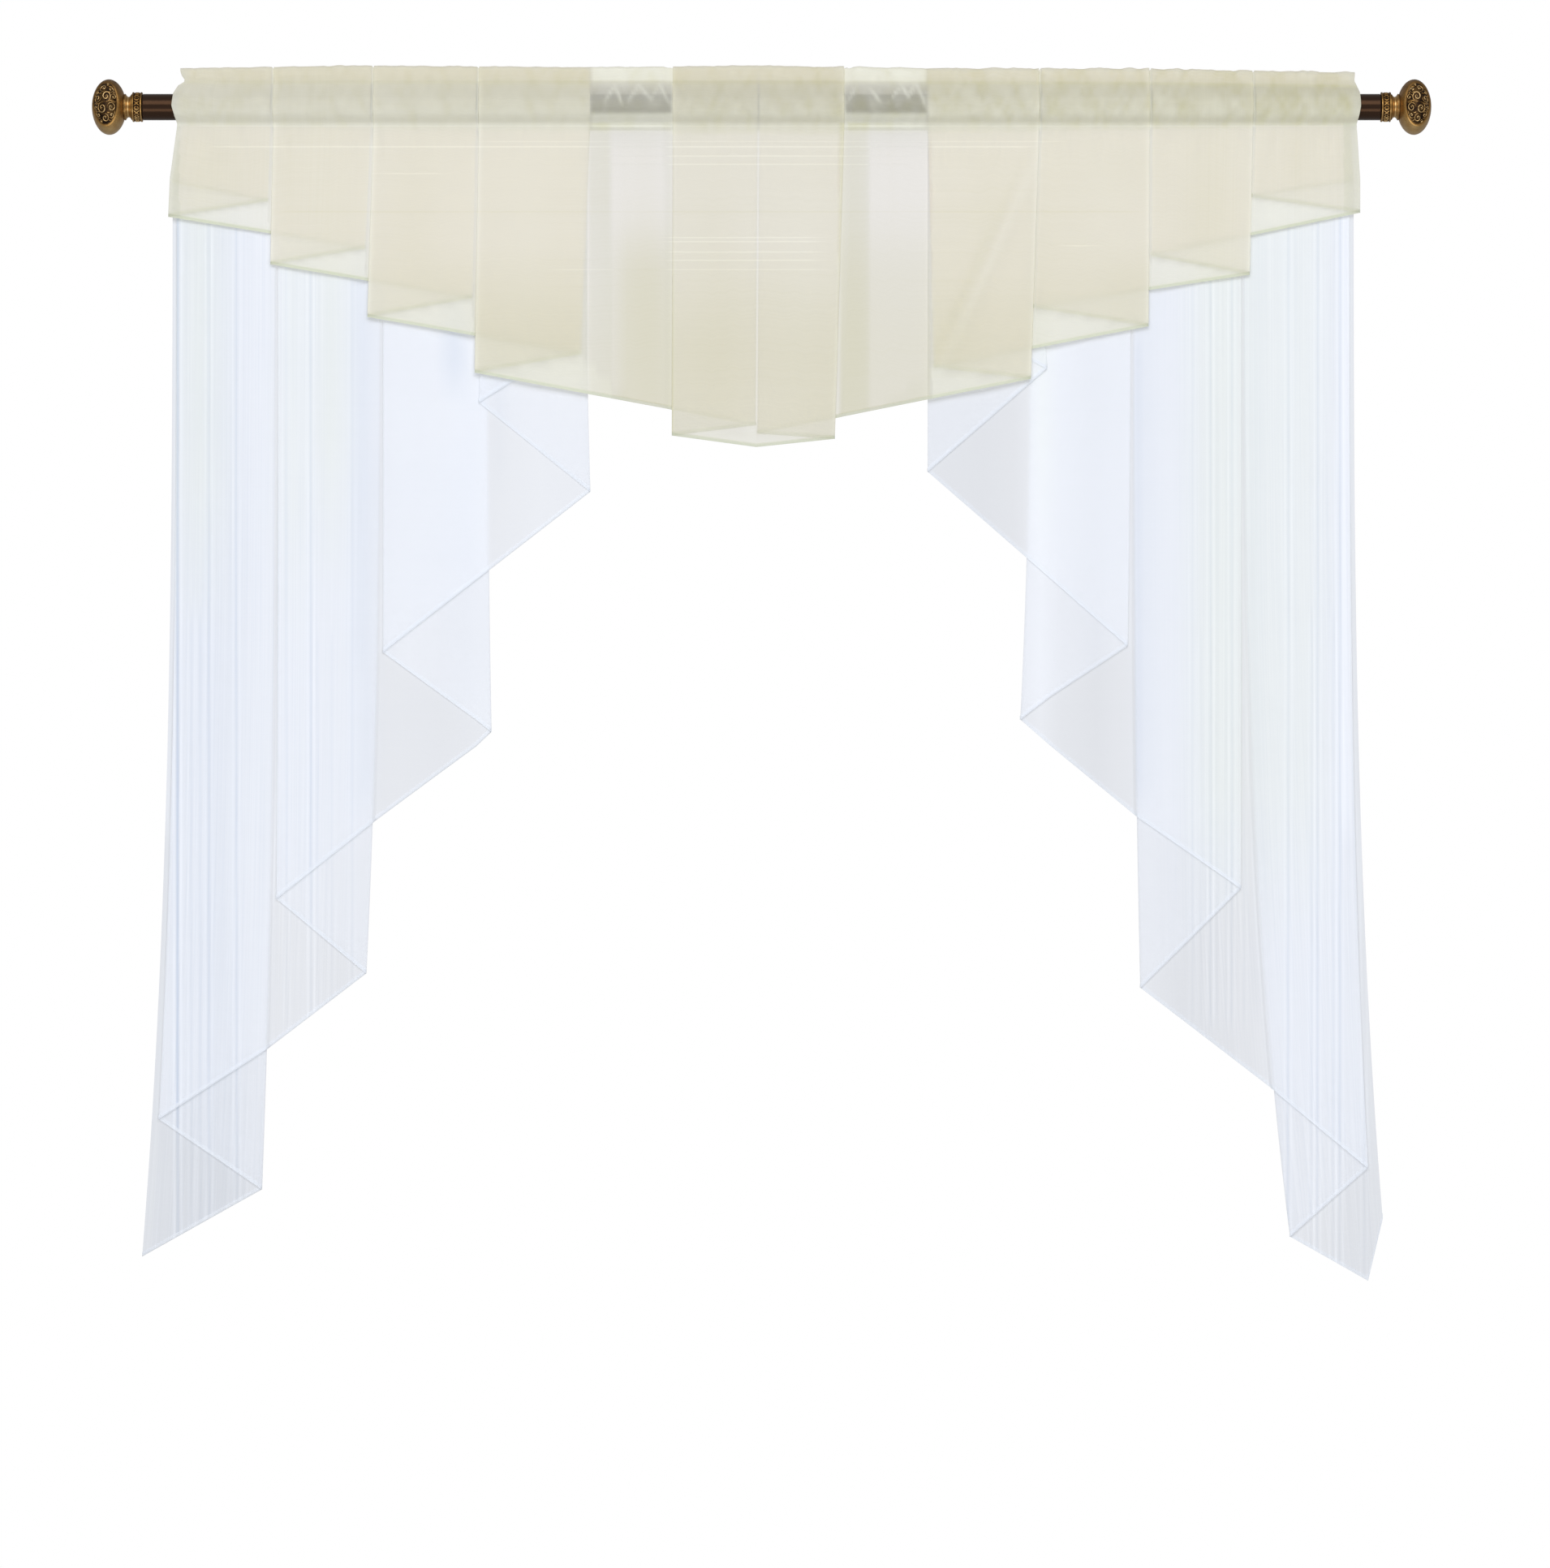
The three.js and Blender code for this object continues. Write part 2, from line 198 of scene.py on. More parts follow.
# How far the heading is drawn in at its two ends, at a height
EndInset = namedtuple("EndInset", "z left right")
END_INSETS = table(EndInset, [
    (-70, 0, 0),
    (-17, 5, 3.5),
    (0, 0, 0),
    (12, 1.2, 0.6),
    (20, 5.5, 2.8),
    (25, 12.5, 5.5),
    (31, 8.5, 4.8),
    (40, 6.5, 4.5),
])
END_REACH = 70

# A fold or an end of the cloth: its place at the heading and at the hem, the hem's drop below the rod,
# and the levels of the layers that come to it and leave it
Pleat = namedtuple("Pleat", "head hem drop come leave")
# Valance, from its left side to its right. Level 0 is next to the rod and level 2 at the front.
VALANCE_PLEATS = table(Pleat, [
    (-566, -571, 74, 0, 0),
    (-475.4, -478.4, 92, 0, 1),
    (-571, -575, 107, 1, 2),
    (-378.4, -384.4, 138, 0, 1),
    (-473, -476, 153, 1, 2),
    (-276.4, -280.4, 186, 0, 1),
    (-376, -382, 204, 1, 2),
    (-166, -175, 240, 0, 1),
    (-274, -278, 258, 1, 2),
    (-3.8, -5.8, 309, 0, 1),
    (-86, -87, 319, 1, 2),
    (-3, -5, 330, 2, 2),
    (80, 71, 322, 2, 1),
    (-2.2, -4.2, 317, 1, 0),
    (269, 261, 264, 2, 1),
    (161, 167, 253, 1, 0),
    (376, 375, 213, 2, 1),
    (271.4, 263.4, 195, 1, 0),
    (476, 473, 163, 2, 1),
    (378.4, 377.4, 145, 1, 0),
    (580, 580, 103, 2, 1),
    (478.4, 475.4, 88, 1, 0),
    (574, 574, 72, 0, 0),
])
FRONT_LEVEL = 2
# A face dips behind the pleat that covers it, over the shortest run where a hidden fold comes up close
DIP_START = 9
DIP_END = 2.5
DIP_CLEARANCE = 0.4
SHORTEST_DIP = 1.6
# Steps along the cloth on a face whose lowest level is 0, 1 or 2
VALANCE_STEPS = (3.2, 6.0, 2.0)
VALANCE_OPENING = 0.6
VALANCE_FALL = 330
VALANCE_DROP_ROWS = 26

# Tails, from the inner edge outwards. Level 0 is at the front.
LEFT_TAIL_PLEATS = table(Pleat, [
    (-169, -169, 220, 0, 0),
    (-271, -274, 287, 0, 1),
    (-170, -166, 373, 1, 2),
    (-275, -277, 459, 2, 2),
    (-367, -367, 529, 0, 1),
    (-275, -277, 594, 3, 3),
    (-266, -262, 606, 3, 4),
    (-275, -277, 620, 4, 4),
    (-367.4, -375, 692.5, 2, 2),
    (-369, -376.6, 694, 0, 0),
    (-469, -471, 768, 0, 1),
    (-369.4, -383, 840, 1, 2),
    (-469.4, -478.3, 912.5, 2, 2),
    (-471, -479.9, 914, 0, 0),
    (-567, -584, 981, 0, 1),
    (-471.4, -485, 1050, 1, 2),
    (-571, -600, 1114, 2, 2),
])
RIGHT_TAIL_PLEATS = table(Pleat, [
    (163, 163, 195, 0, 0),
    (270, 277, 254, 0, 1),
    (161, 161, 354, 1, 2),
    (273, 280, 457, 2, 2),
    (358, 355, 523, 0, 1),
    (273, 280, 572, 3, 3),
    (261, 251, 594, 3, 4),
    (273, 280, 619, 4, 4),
    (358.4, 361.8, 686.5, 2, 2),
    (360, 363.4, 688, 0, 0),
    (465, 465, 758, 0, 1),
    (360.4, 367, 854, 1, 2),
    (465.4, 494, 951, 2, 2),
    (467, 495.6, 952.5, 0, 0),
    (570, 588, 1029, 0, 1),
    (467.4, 513, 1096, 1, 2),
    (562, 588, 1138, 2, 2),
    (574, 602, 1078, 2, 2),
])
TAIL_STEP = 2.1
TAIL_TOP = 13.6
TAIL_FRONT = -2.8
TAIL_OPENING = 1.2
TAIL_FALL = 1100
TAIL_SWING = 3
TAIL_TUCK = 1.4
TAIL_ROWS = 82
TAIL_RELIEF_REACH = (90, 180)

# The hanging cloth bows a little to the front and back, more the lower it hangs
BOW_DEPTH = 9
BOW_WIDTH = 250
BOW_LEAN = 900
BOW_START = 150

# A soft ridge, or a trough where its height is below 0, from one point of the cloth to another
Crease = namedtuple("Crease", "x_from z_from x_to z_to width height")
CREASE_END = 0.35
# Gathers of the pocket where a single layer lies over the rod
GATHERS = table(Crease, [
    (-152, 3, -142, 19, 1.8, 0.8),
    (-142, 19, -134, -1, 1.8, 0.8),
    (-133, 36, -133, -16, 1.6, -0.6),
    (-129, 3, -119, 20, 1.8, 0.7),
    (-119, 20, -107, 5, 2.0, 0.8),
    (-107, 5, -99, 21, 1.8, 0.6),
    (-99, 21, -89, 1, 1.8, 0.7),
    (83, 3, 92, 19, 1.8, 0.7),
    (105, 16, 115, 2, 2.0, 0.9),
    (125, 36, 125, -16, 1.6, -0.6),
    (123, 2, 134, 18, 1.8, 0.8),
    (136, 19, 142, 7, 1.7, 0.9),
    (142, 7, 148, 20, 1.7, 0.9),
    (150, 22, 159, -3, 1.8, 0.8),
])
# Creases of the hanging part of the valance
VALANCE_CREASES = table(Crease, [
    (266, -50, 174, -252, 7, 3.0),
    (257, -52, 165, -254, 6, -2.4),
    (-169, -132, -169, -205, 2.5, 0.7),
    (-113, -25, -113, -300, 17, -2.2),
    (-92, -25, -92, -300, 9, 1.0),
    (89, -25, 90, -290, 12, -1.8),
    (125, -19, 130, -150, 4, -0.6),
    (-133, -19, -131, -140, 4, -0.5),
    (40, -40, 34, -310, 22, 1.1),
    (-45, -60, -40, -318, 24, -1.0),
    (-225, -40, -232, -238, 26, 1.0),
    (225, -40, 214, -150, 20, -0.8),
    (-330, -30, -338, -185, 24, -0.9),
    (330, -30, 326, -200, 26, 1.0),
    (-430, -25, -436, -140, 22, 0.9),
    (436, -25, 432, -150, 22, -0.9),
    (-530, -22, -534, -95, 20, -0.8),
    (545, -22, 548, -90, 14, 1.1),
    (520, -22, 521, -80, 10, -0.8),
])
# Soft folds of the tails
TAIL_CREASES = table(Crease, [
    (-382, -150, -384, -660, 13, -1.6),
    (-410, -140, -412, -720, 14, 1.0),
    (-320, -200, -324, -520, 22, 1.2),
    (-220, -250, -226, -330, 18, -1.0),
    (-520, -120, -524, -930, 20, -1.2),
    (-548, -120, -560, -960, 12, 0.9),
    (-440, -140, -438, -800, 12, -0.9),
    (-585, -1105, -545, -900, 16, 1.0),
    (392, -150, 390, -680, 14, -1.4),
    (320, -210, 318, -500, 22, 1.2),
    (215, -230, 214, -310, 18, -1.0),
    (425, -140, 424, -740, 12, 1.0),
    (495, -120, 500, -930, 18, -1.2),
    (552, -120, 565, -1000, 14, 1.0),
    (575, -1120, 540, -930, 16, -0.9),
])

# Seeded waves of the cloth: those of the heading have a lean, a cell of noise, a seed and a share
NOISE_CELLS = 257
PUCKER_SEED = 4
DRAPE_SEED = 9
CRUMPLE_SEED = 21
CLOUD_SEED = 33
Wave = namedtuple("Wave", "lean cell seed share")
PUCKER_WAVES = table(Wave, [
    (0.35, (9, 26), PUCKER_SEED, 0.5),
    (-0.45, (6, 15), DRAPE_SEED, 0.35),
    (0, (4.2, 6.5), CRUMPLE_SEED, 0.25),
])
# Height of the heading's puckers at places along the rod, their mean, and how fast they rise from a seam
PUCKER_SIZES = [(-575, 0.9), (-100, 0.9), (150, 1.5), (580, 1.7)]
PUCKER_MEAN = 0.6
POCKET_PUCKER_RISE = 5
HEADER_PUCKER_RISE = 3
# Relief of the hanging cloth: where it is full, short gathers under the seam, and slow waves
RELIEF_RUN = 60
SEAM_GATHER_DROP = 34
SEAM_GATHER_REACH = 16
SEAM_GATHER_CELL = (7, 40)
SLOW_WAVE = 0.7
SLOW_WAVE_CELL = (46, 210)

# Tones of the cloth. A share of shade makes it darker, as its own tone and as painted shade of folds,
# creases, puckers, hollows and shadows; a share of density makes it more covering and brighter.
# Layers of the tails behind the front one, which show below its hem, at a place along the rod
Tone = namedtuple("Tone", "x dense shade")
BEHIND_TONES = table(Tone, [
    (-600, 0, 0.28),
    (-515, 0, 0.44),
    (-490, 0.03, 0.14),
    (-470, 0.15, 0),
    (-440, 0.24, 0),
    (-410, 0.13, 0),
    (-350, 0.18, 0),
    (-310, 0.14, 0),
    (-215, 0.38, 0),
    (215, 0, 0.06),
    (245, 0.06, 0),
    (270, 0.34, 0),
    (290, 0.1, 0),
    (325, 0, 0.06),
    (345, 0.1, 0),
    (372, 0.15, 0),
    (405, 0, 0.1),
    (430, 0, 0.03),
    (470, 0.12, 0),
    (515, 0.2, 0),
    (550, 0.1, 0),
    (592, 0, 0.2),
])
BEHIND_LEVELS = (0.8, 1.6)
# Painted shade along the folds, standing also for the thicker cloth there: faint at the front folds,
# stronger at the tails' folds behind, which show as dark edge lines
FRONT_FOLD_SHADE = 0.06
BACK_FOLD_SHADE = 0.2
# A soft band down the tails: its place along the rod, its ends, its half width, and how much darker it is,
# or brighter below 0
Band = namedtuple("Band", "x low high width strength")
TAIL_BANDS = table(Band, [
    (-576, -720, -60, 6, -0.3),
    (-534, -1130, -60, 34, 0.08),
    (-488, -1060, -60, 20, -0.05),
    # Painted shadows of the fold at -367 on the layers behind: this row and the next
    (-391, -560, -120, 12, 0.1),
    (-384, -700, -120, 22, 0.14),
    # Painted shadow of the valance's hem on the tail
    (-298, -290, -170, 18, 0.3),
    (-285, -600, -170, 34, 0.07),
    (-254, -380, -190, 12, 0.12),
    # Painted shadows of the fold at 358 on the layers behind: this row and the next
    (365, -690, -200, 7, 0.25),
    (374, -700, -120, 18, 0.12),
    (479, -900, -60, 11, 0.14),
    (566, -720, -60, 9, -0.3),
])
BAND_FADE = 40
# Bands with a warmer tinge
TAIL_TINGES = table(Band, [
    (-545, -520, 60, 42, 0.45),
    (-455, -540, 60, 24, 0.3),
    (-418, -480, 60, 30, 0.45),
    (272, -480, 60, 18, 0.3),
    (440, -820, 60, 40, 0.5),
    (480, -820, 60, 40, 0.4),
    (525, -820, 60, 40, 0.35),
])
TINGE_FADE = 160
# Lines of thicker or thinner threads: their places across, their ends along, their half width, how much
# darker they are, or brighter below 0, and the share of that by which the cloth beside is brighter
Thread = namedtuple("Thread", "places start end width strength flank", defaults=[0])
# Lines down the tails, at a place along the rod, between two heights
TAIL_THREADS = table(Thread, [
    ((-565.8,), -1130, -60, 2.0, 1.2, 0.3),
    ((-535.9, -509.3, 510.8, 539.3, 560.8), -1150, -60, 1.9, 0.42, 0.6),
    ((-552.7, -544.2, 533.6, 554.4, 584.3), -1150, -480, 1.8, 0.24, 0.7),
    ((-437.2, 435, 455.7), -900, -90, 1.9, 0.46, 0.5),
    ((-461, -396.8, 417.6, 441.4, 467.9), -900, -90, 1.9, 0.22, 0.6),
    ((-430.6, -416.8, 426, 450.3), -900, -500, 1.9, 0.17, 0.55),
])
# Lines across the valance, at a height, between two places along the rod
VALANCE_THREADS = table(Thread, [
    ((-19,), -166, -86, 1.0, -0.9),
    ((-19,), 80, 161, 1.0, -0.9),
    ((-19,), -560, 570, 0.9, -0.25),
    ((-34,), -280, 300, 0.9, -0.25),
    ((-39,), -540, 270, 1.2, -0.4),
    ((-48, -56), -160, 160, 1.0, -0.35),
    ((-65,), -380, -300, 1.0, -0.3),
    ((-102,), -473, 375, 1.2, 0.12),
    ((-127, -131, -141, -149), -105, 66, 1.0, -0.38),
    ((-135,), 285, 332, 0.9, -0.4),
    ((-158,), -210, 66, 1.0, -0.25),
])
THREAD_FADE = 22
FLANK_PLACE = 1.7
FLANK_WIDTH = 0.9

# Shade of a single hanging layer at a place along the rod, high up and low down
SingleTone = namedtuple("SingleTone", "x high low")
SINGLE_TONES = table(SingleTone, [
    (-168, 0, 0),
    (-166, 0.18, 0.12),
    (-150, 0.24, 0.2),
    (-144, 0.03, 0.22),
    (-130, 0.03, 0.45),
    (-98, 0.03, 0.48),
    (-87, 0.12, 0.36),
    (-85, 0, 0),
    (74, 0, 0),
    (78, 0.26, 0.42),
    (100, 0.22, 0.4),
    (106, 0.03, 0.26),
    (160, 0.03, 0.25),
    (165, 0, 0),
])
SINGLE_LOW_REACH = (80, 170)
SINGLE_THIN = 0.8
SINGLE_THIN_REACH = (FLAP_DROP, 52)
SINGLE_THIN_LOW = 0.5
SINGLE_THIN_SHADE = 0.1
# Stretches of the heading where a single layer covers the rod
SINGLE_STRETCHES = [(-166, -86), (80, 161)]
SINGLE_FADE = 3
# A strip of the pocket, single or pleated: the heights where its tone starts and is full, and its tone
Strip = namedtuple("Strip", "single start full shade dense")
POCKET_STRIPS = table(Strip, [
    (True, -7, -11, 0.25, 0),
    (True, -4, -9, 0, 0.85),
    (True, 6, 18, 0.15, 0),
    (True, 6, 24, 0, 0.25),
    # Denser and so brighter towards the lower edge of the pleated pocket: painted light that lifts the
    # shade of its down-facing cloth
    (False, 2, -11, 0, 0.45),
])
# Pleated pocket, with a shade that leans along the rod and a denser outer part, then header and stitching
POCKET_SHADE = 0.2
POCKET_LEAN = 0.00013
OUTER_POCKET = 90
OUTER_POCKET_DENSE = 0.1
HEADER_FADE = 2
HEADER_SHADE = 0.14
SINGLE_HEADER_SHADE = 0.15
SINGLE_HEADER_DENSE = 0.55
STITCH_SHADE = 0.12
STITCH_REACH = 1.5
# The rod behind a single layer: the heights of its lower edge, and a painted shade for the hollow of the
# pocket over it
ROD_EDGE = (-11, -7)
HOLLOW_SHADE = 0.3
HOLLOW_DEPTH = 26
# Puckers, with painted shade in their troughs and painted highlight on their crests, gathers, and the cloth
# behind the front folds
WAVE_SHADE = 0.2
WAVE_HIGHLIGHT = 0.16
GATHER_DENSE = 0.6
BACKING_DENSE = 0.6
# Hanging part: a shade that darkens it towards its lower end, its creases with painted shade in their
# troughs and painted highlight on their ridges, its folds, and the front layer where it hangs alone
LOW_SHADE = 0.14
LOW_REACH = (110, 240)
CREASE_SHADE_AND_HIGHLIGHT = 0.05
FOLD_REACH = 2.6
FOLD_DENSE = 0.26
FOLD_DENSE_AT_HEADING = 0.08
ALONE_DENSE = 0.3
ALONE_FADE = 4
# Hems down the sides: beyond a place along the valance, and in the first and last columns of a tail
SIDE_HEM = 564
SIDE_HEM_TONE = 0.3
TAIL_SIDE_COLUMNS = 4
TAIL_SIDE_TONE = 0.6
# Faint clouds
CLOUD_CELL = (60, 60)
CLOUD_SHADE = 0.02


def clamp01(value):
    return np.clip(value, 0, 1)


def mix(a, b, share):
    return a + (b - a) * share


def ease(value):
    value = clamp01(value)
    return value * value * (3 - 2 * value)


def rise(value, start, full):
    """0 up to a start, 1 from where it is full on, and a soft step between."""
    return ease((value - start) / (full - start))


def unit(vectors):
    return vectors / np.linalg.norm(vectors, axis=1, keepdims=True)


def full_turn(sides):
    """Angles of a ring of points, one for each column of a grid."""
    return np.linspace(0, 2 * math.pi, sides, endpoint=False)[:, None]


def columns_of(rows, place):
    """Columns of a table after its first one, interpolated at places of the first."""
    places, *others = zip(*rows)
    return [np.interp(place, places, column) for column in others]


def value_noise(x, z, cell, seed):
    """Smooth noise from -1 to 1, with one seeded value at each corner of a grid of cells."""
    values = np.random.default_rng(seed).uniform(-1, 1, (NOISE_CELLS, NOISE_CELLS))
    column, row = x / cell[0], z / cell[1]
    left, low = np.floor(column).astype(int), np.floor(row).astype(int)
    across, up = ease(column - left), ease(row - low)

    def corner(i, j):
        return values[i % NOISE_CELLS, j % NOISE_CELLS]

    under = mix(corner(left, low), corner(left + 1, low), across)
    over = mix(corner(left, low + 1), corner(left + 1, low + 1), across)
    return mix(under, over, up)


def crease_height(x, z, creases):
    """Height of all creases of a table at points of the cloth."""
    height = np.zeros_like(x)
    for crease in creases:
        run_x, run_z = crease.x_to - crease.x_from, crease.z_to - crease.z_from
        length_squared = run_x ** 2 + run_z ** 2
        share = clamp01(((x - crease.x_from) * run_x + (z - crease.z_from) * run_z) / length_squared)
        off_x = x - crease.x_from - share * run_x
        off_z = z - crease.z_from - share * run_z
        taper = mix(CREASE_END, 1, np.sin(math.pi * share))
        height += crease.height * taper * np.exp(-(off_x ** 2 + off_z ** 2) / crease.width ** 2)
    return height


def layer_pitch(fall, opening, full_fall):
    """Distance between layers, which open a little as they fall away from the seam."""
    return LAYER_PITCH + opening * clamp01((fall - SEAM_DROP) / full_fall)


def bow(x, fall):
    growth = clamp01((fall - BOW_START) / TAIL_FALL)
    return BOW_DEPTH * growth * np.sin(2 * math.pi * x / BOW_WIDTH + fall / BOW_LEAN)


# The cloth's columns, each an array: the fields of a pleat along the cloth, and how near a fold it is
Columns = namedtuple("Columns", "head hem drop level fold")


def pleat_columns(rows, step_of):
    """Columns of a pleated cloth: a round turn at each fold and plain steps along the faces between."""
    columns = []
    for index, row in enumerate(rows):
        folded = row.come != row.leave
        inward = np.sign(rows[index - 1].head - row.head) if folded else 0
        turn = []
        for angle in np.linspace(0, math.pi, TURN_COLUMNS) if folded else [0]:
            back = inward * TURN_RADIUS * (1 - math.sin(angle))
            level = mix(row.come, row.leave, (1 - math.cos(angle)) / 2)
            turn.append(Columns(row.head + back, row.hem + back, row.drop, level, math.sin(angle)))
        if columns:
            start, end = columns[-1], turn[0]
            steps = math.ceil(abs(end.head - start.head) / step_of(start.level, end.level))
            shares = np.arange(1, steps) / steps
            columns.extend(mix(np.array(start), np.array(end), share) for share in shares)
        columns.extend(turn)
    return Columns(*(np.array(column)[:, None] for column in zip(*columns)))


def with_dips(rows):
    """The valance's pleats with the bends where a face dips behind the pleat that covers it."""
    result = []
    for index, row in enumerate(rows):
        before = rows[index - 1]
        if index and abs(before.leave - row.come) == FRONT_LEVEL:
            goes_back = row.come == 0
            cover = rows[index + 1] if goes_back else rows[index - 2]
            neighbour = rows[index - 2] if goes_back else rows[index + 1]
            side = -1 if goes_back else 1
            start = min(DIP_START, abs(neighbour.head - cover.head) - DIP_CLEARANCE)
            end = min(DIP_END, start - SHORTEST_DIP)
            bends = []
            for distance, level in ((start, FRONT_LEVEL), (end, 0)):
                hem = cover.hem + side * distance
                drop = mix(before.drop, row.drop, (hem - before.hem) / (row.hem - before.hem))
                bends.append(Pleat(cover.head + side * distance, hem, drop, level, level))
            result.extend(bends if goes_back else bends[::-1])
        result.append(row)
    return result


def touch_angle(y, z):
    """Angle, from +Y, of the point where a line from (y, z) touches the pocket's circle."""
    turn = np.arccos(POCKET_RADIUS / np.hypot(y, z))
    return np.arctan2(z, y) - np.sign(z) * turn


def heading_section(x):
    """Rows (y, z, outward angle) of the layer next to the rod: from the flap behind it over the header
    to the front seam."""
    top, stitch = columns_of(HEADING, x)
    crown = top - CROWN_INSET
    shoulder = crown - HEADER_HALF_DEPTH
    low = np.full_like(x, touch_angle(SEAM_DEPTH, -SEAM_DROP))
    high = touch_angle(HEADER_HALF_DEPTH, stitch)
    still = np.zeros_like(x)

    def line(start, end, steps):
        shares = np.arange(steps) / steps
        return [mix(a + still, b + still, shares) for a, b in zip(start, end)]

    def on_pocket(angle):
        return POCKET_RADIUS * np.cos(angle), POCKET_RADIUS * np.sin(angle), angle

    flap = (SEAM_DEPTH, -FLAP_DROP, 0)
    seam = (SEAM_DEPTH, -SEAM_DROP, low / 2)
    stitching = (HEADER_HALF_DEPTH, stitch, high / 2)
    header_edge = (HEADER_HALF_DEPTH, shoulder, 0)
    pieces = [
        line(flap, seam, 2),
        line(seam, on_pocket(low), 3),
        on_pocket(mix(low, high, np.arange(9) / 9)),
        line(on_pocket(high), stitching, 4),
        line(stitching, header_edge, 5),
    ]
    for turn in (0, math.pi / 4):
        edge_z = shoulder + HEADER_HALF_DEPTH * math.sin(turn)
        pieces.append((HEADER_HALF_DEPTH * math.cos(turn) + still, edge_z, turn + still))
    back_y, back_z, back_angle = (np.concatenate(parts, axis=1) for parts in zip(*pieces))
    y = np.concatenate([back_y, still, -back_y[:, :1:-1]], axis=1)
    z = np.concatenate([back_z, crown, back_z[:, :1:-1]], axis=1)
    angle = np.concatenate([back_angle, still + math.pi / 2, math.pi - back_angle[:, :1:-1]], axis=1)
    return y, z, angle


def end_inset(x, z):
    """Shift along the rod of the heading's ends, which are drawn in at the stitching."""
    reach = ease((np.abs(x) - (abs(HEADING[0].x) - END_REACH)) / END_REACH)
    left, right = columns_of(END_INSETS, z)
    return reach * np.where(x < 0, left, -right)


def pucker_wave(x, z):
    """Waves of the gathered heading: slanted folds with finer crumples on them."""
    return sum(wave.share * value_noise(x + wave.lean * z, z, wave.cell, wave.seed)
               for wave in PUCKER_WAVES)


def pucker_size(x):
    return columns_of(PUCKER_SIZES, x)[0]


def heading_pucker(x, z):
    """Height of the puckers of the gathered heading, none at its stitching."""
    top, stitch = columns_of(HEADING, x)
    up_pocket = clamp01((z + SEAM_DROP) / (stitch + SEAM_DROP))
    up_header = clamp01((z - stitch) / (top - stitch))
    pocket_room = ease(POCKET_PUCKER_RISE * up_pocket) * ease(POCKET_PUCKER_RISE * (1 - up_pocket))
    room = np.where(z < stitch, pocket_room, ease(HEADER_PUCKER_RISE * up_header))
    return room * (pucker_size(x) * (PUCKER_MEAN + pucker_wave(x, z)) + crease_height(x, z, GATHERS))


def hanging_relief(x, fall, creases):
    """Creases and slow waves of a hanging layer, growing from nothing at its seam."""
    growth = ease((fall - SEAM_DROP) / RELIEF_RUN)
    under_seam = np.exp(-((fall - SEAM_GATHER_DROP) / SEAM_GATHER_REACH) ** 2)
    under_seam = ease((fall - SEAM_DROP) / SEAM_GATHER_REACH) * under_seam
    gathers = under_seam * value_noise(x, fall, SEAM_GATHER_CELL, PUCKER_SEED)
    slow = SLOW_WAVE * growth * value_noise(x, fall, SLOW_WAVE_CELL, DRAPE_SEED)
    return growth * crease_height(x, -fall, creases) + gathers + slow


def hem_rows(drop, start, rows, width):
    """Falls of the rows of a sheet, the last few within its hem."""
    body = mix(start, drop - width, np.arange(rows) / (rows - 1))
    return np.concatenate([body, drop - width * HEM_FACE], axis=1)


def with_turned_hem(points, width):
    """The sheet with its lower edge turned up on the wrong side, and how much each of its points is hem."""
    across = np.gradient(points[:, -1, :2], axis=0)
    to_wrong_side = unit(np.stack([-across[:, 1], across[:, 0]], axis=1))
    strip = np.repeat(points[:, -1:], len(HEM_STRIP), axis=1)
    strip[:, :, :2] += HEM_OFFSET * to_wrong_side[:, None]
    strip[:, :, 2] += width * HEM_STRIP
    hem = np.zeros((len(points), points.shape[1] + len(HEM_STRIP)))
    hem[:, points.shape[1] - len(HEM_FACE):] = 1
    return np.concatenate([points, strip], axis=1), hem


def edge_slope(columns):
    """Length along the hem for a step along the cloth, which is 1 where the hem is level."""
    along = np.gradient(columns.hem[:, 0])
    down = np.gradient(columns.drop[:, 0])
    slope = down / np.where(np.abs(along) < SHORTEST_HEM_RUN, np.inf, along)
    return np.sqrt(1 + np.clip(slope, -STEEPEST_HEM, STEEPEST_HEM) ** 2)[:, None]


def band_sum(x, z, bands, fade):
    """Sum of the soft bands of a table at points of the cloth."""
    total = np.zeros_like(x)
    for band in bands:
        across = clamp01(1 - np.abs(x - band.x) / band.width)
        along = clamp01((z - band.low) / fade) * clamp01((band.high - z) / fade)
        total += band.strength * across * along
    return total


def clouds(x, z):
    """Faint uneven shade of a cloth."""
    return CLOUD_SHADE * value_noise(x, z, CLOUD_CELL, CLOUD_SEED)


def single_layer(x):
    """1 where a single layer of the valance lies over the rod, 0 where it is pleated."""
    return sum(ease((x - left) / SINGLE_FADE) * ease((right - x) / SINGLE_FADE)
               for left, right in SINGLE_STRETCHES)


def hidden_hem(x):
    """Drop of the hem of the layer behind the front one, at places along the valance's hem."""
    folds = sorted((pleat.hem, pleat.drop) for pleat in VALANCE_PLEATS if pleat.come != pleat.leave)
    return columns_of(folds, x)[0]


def near_front_fold(x):
    """1 at the front folds of the valance, falling to 0 beside them."""
    nearness = np.zeros_like(x)
    for pleat in VALANCE_PLEATS:
        if pleat.come != pleat.leave and FRONT_LEVEL in (pleat.come, pleat.leave):
            nearness = np.maximum(nearness, np.exp(-((x - pleat.head) / FOLD_REACH) ** 2))
    return nearness


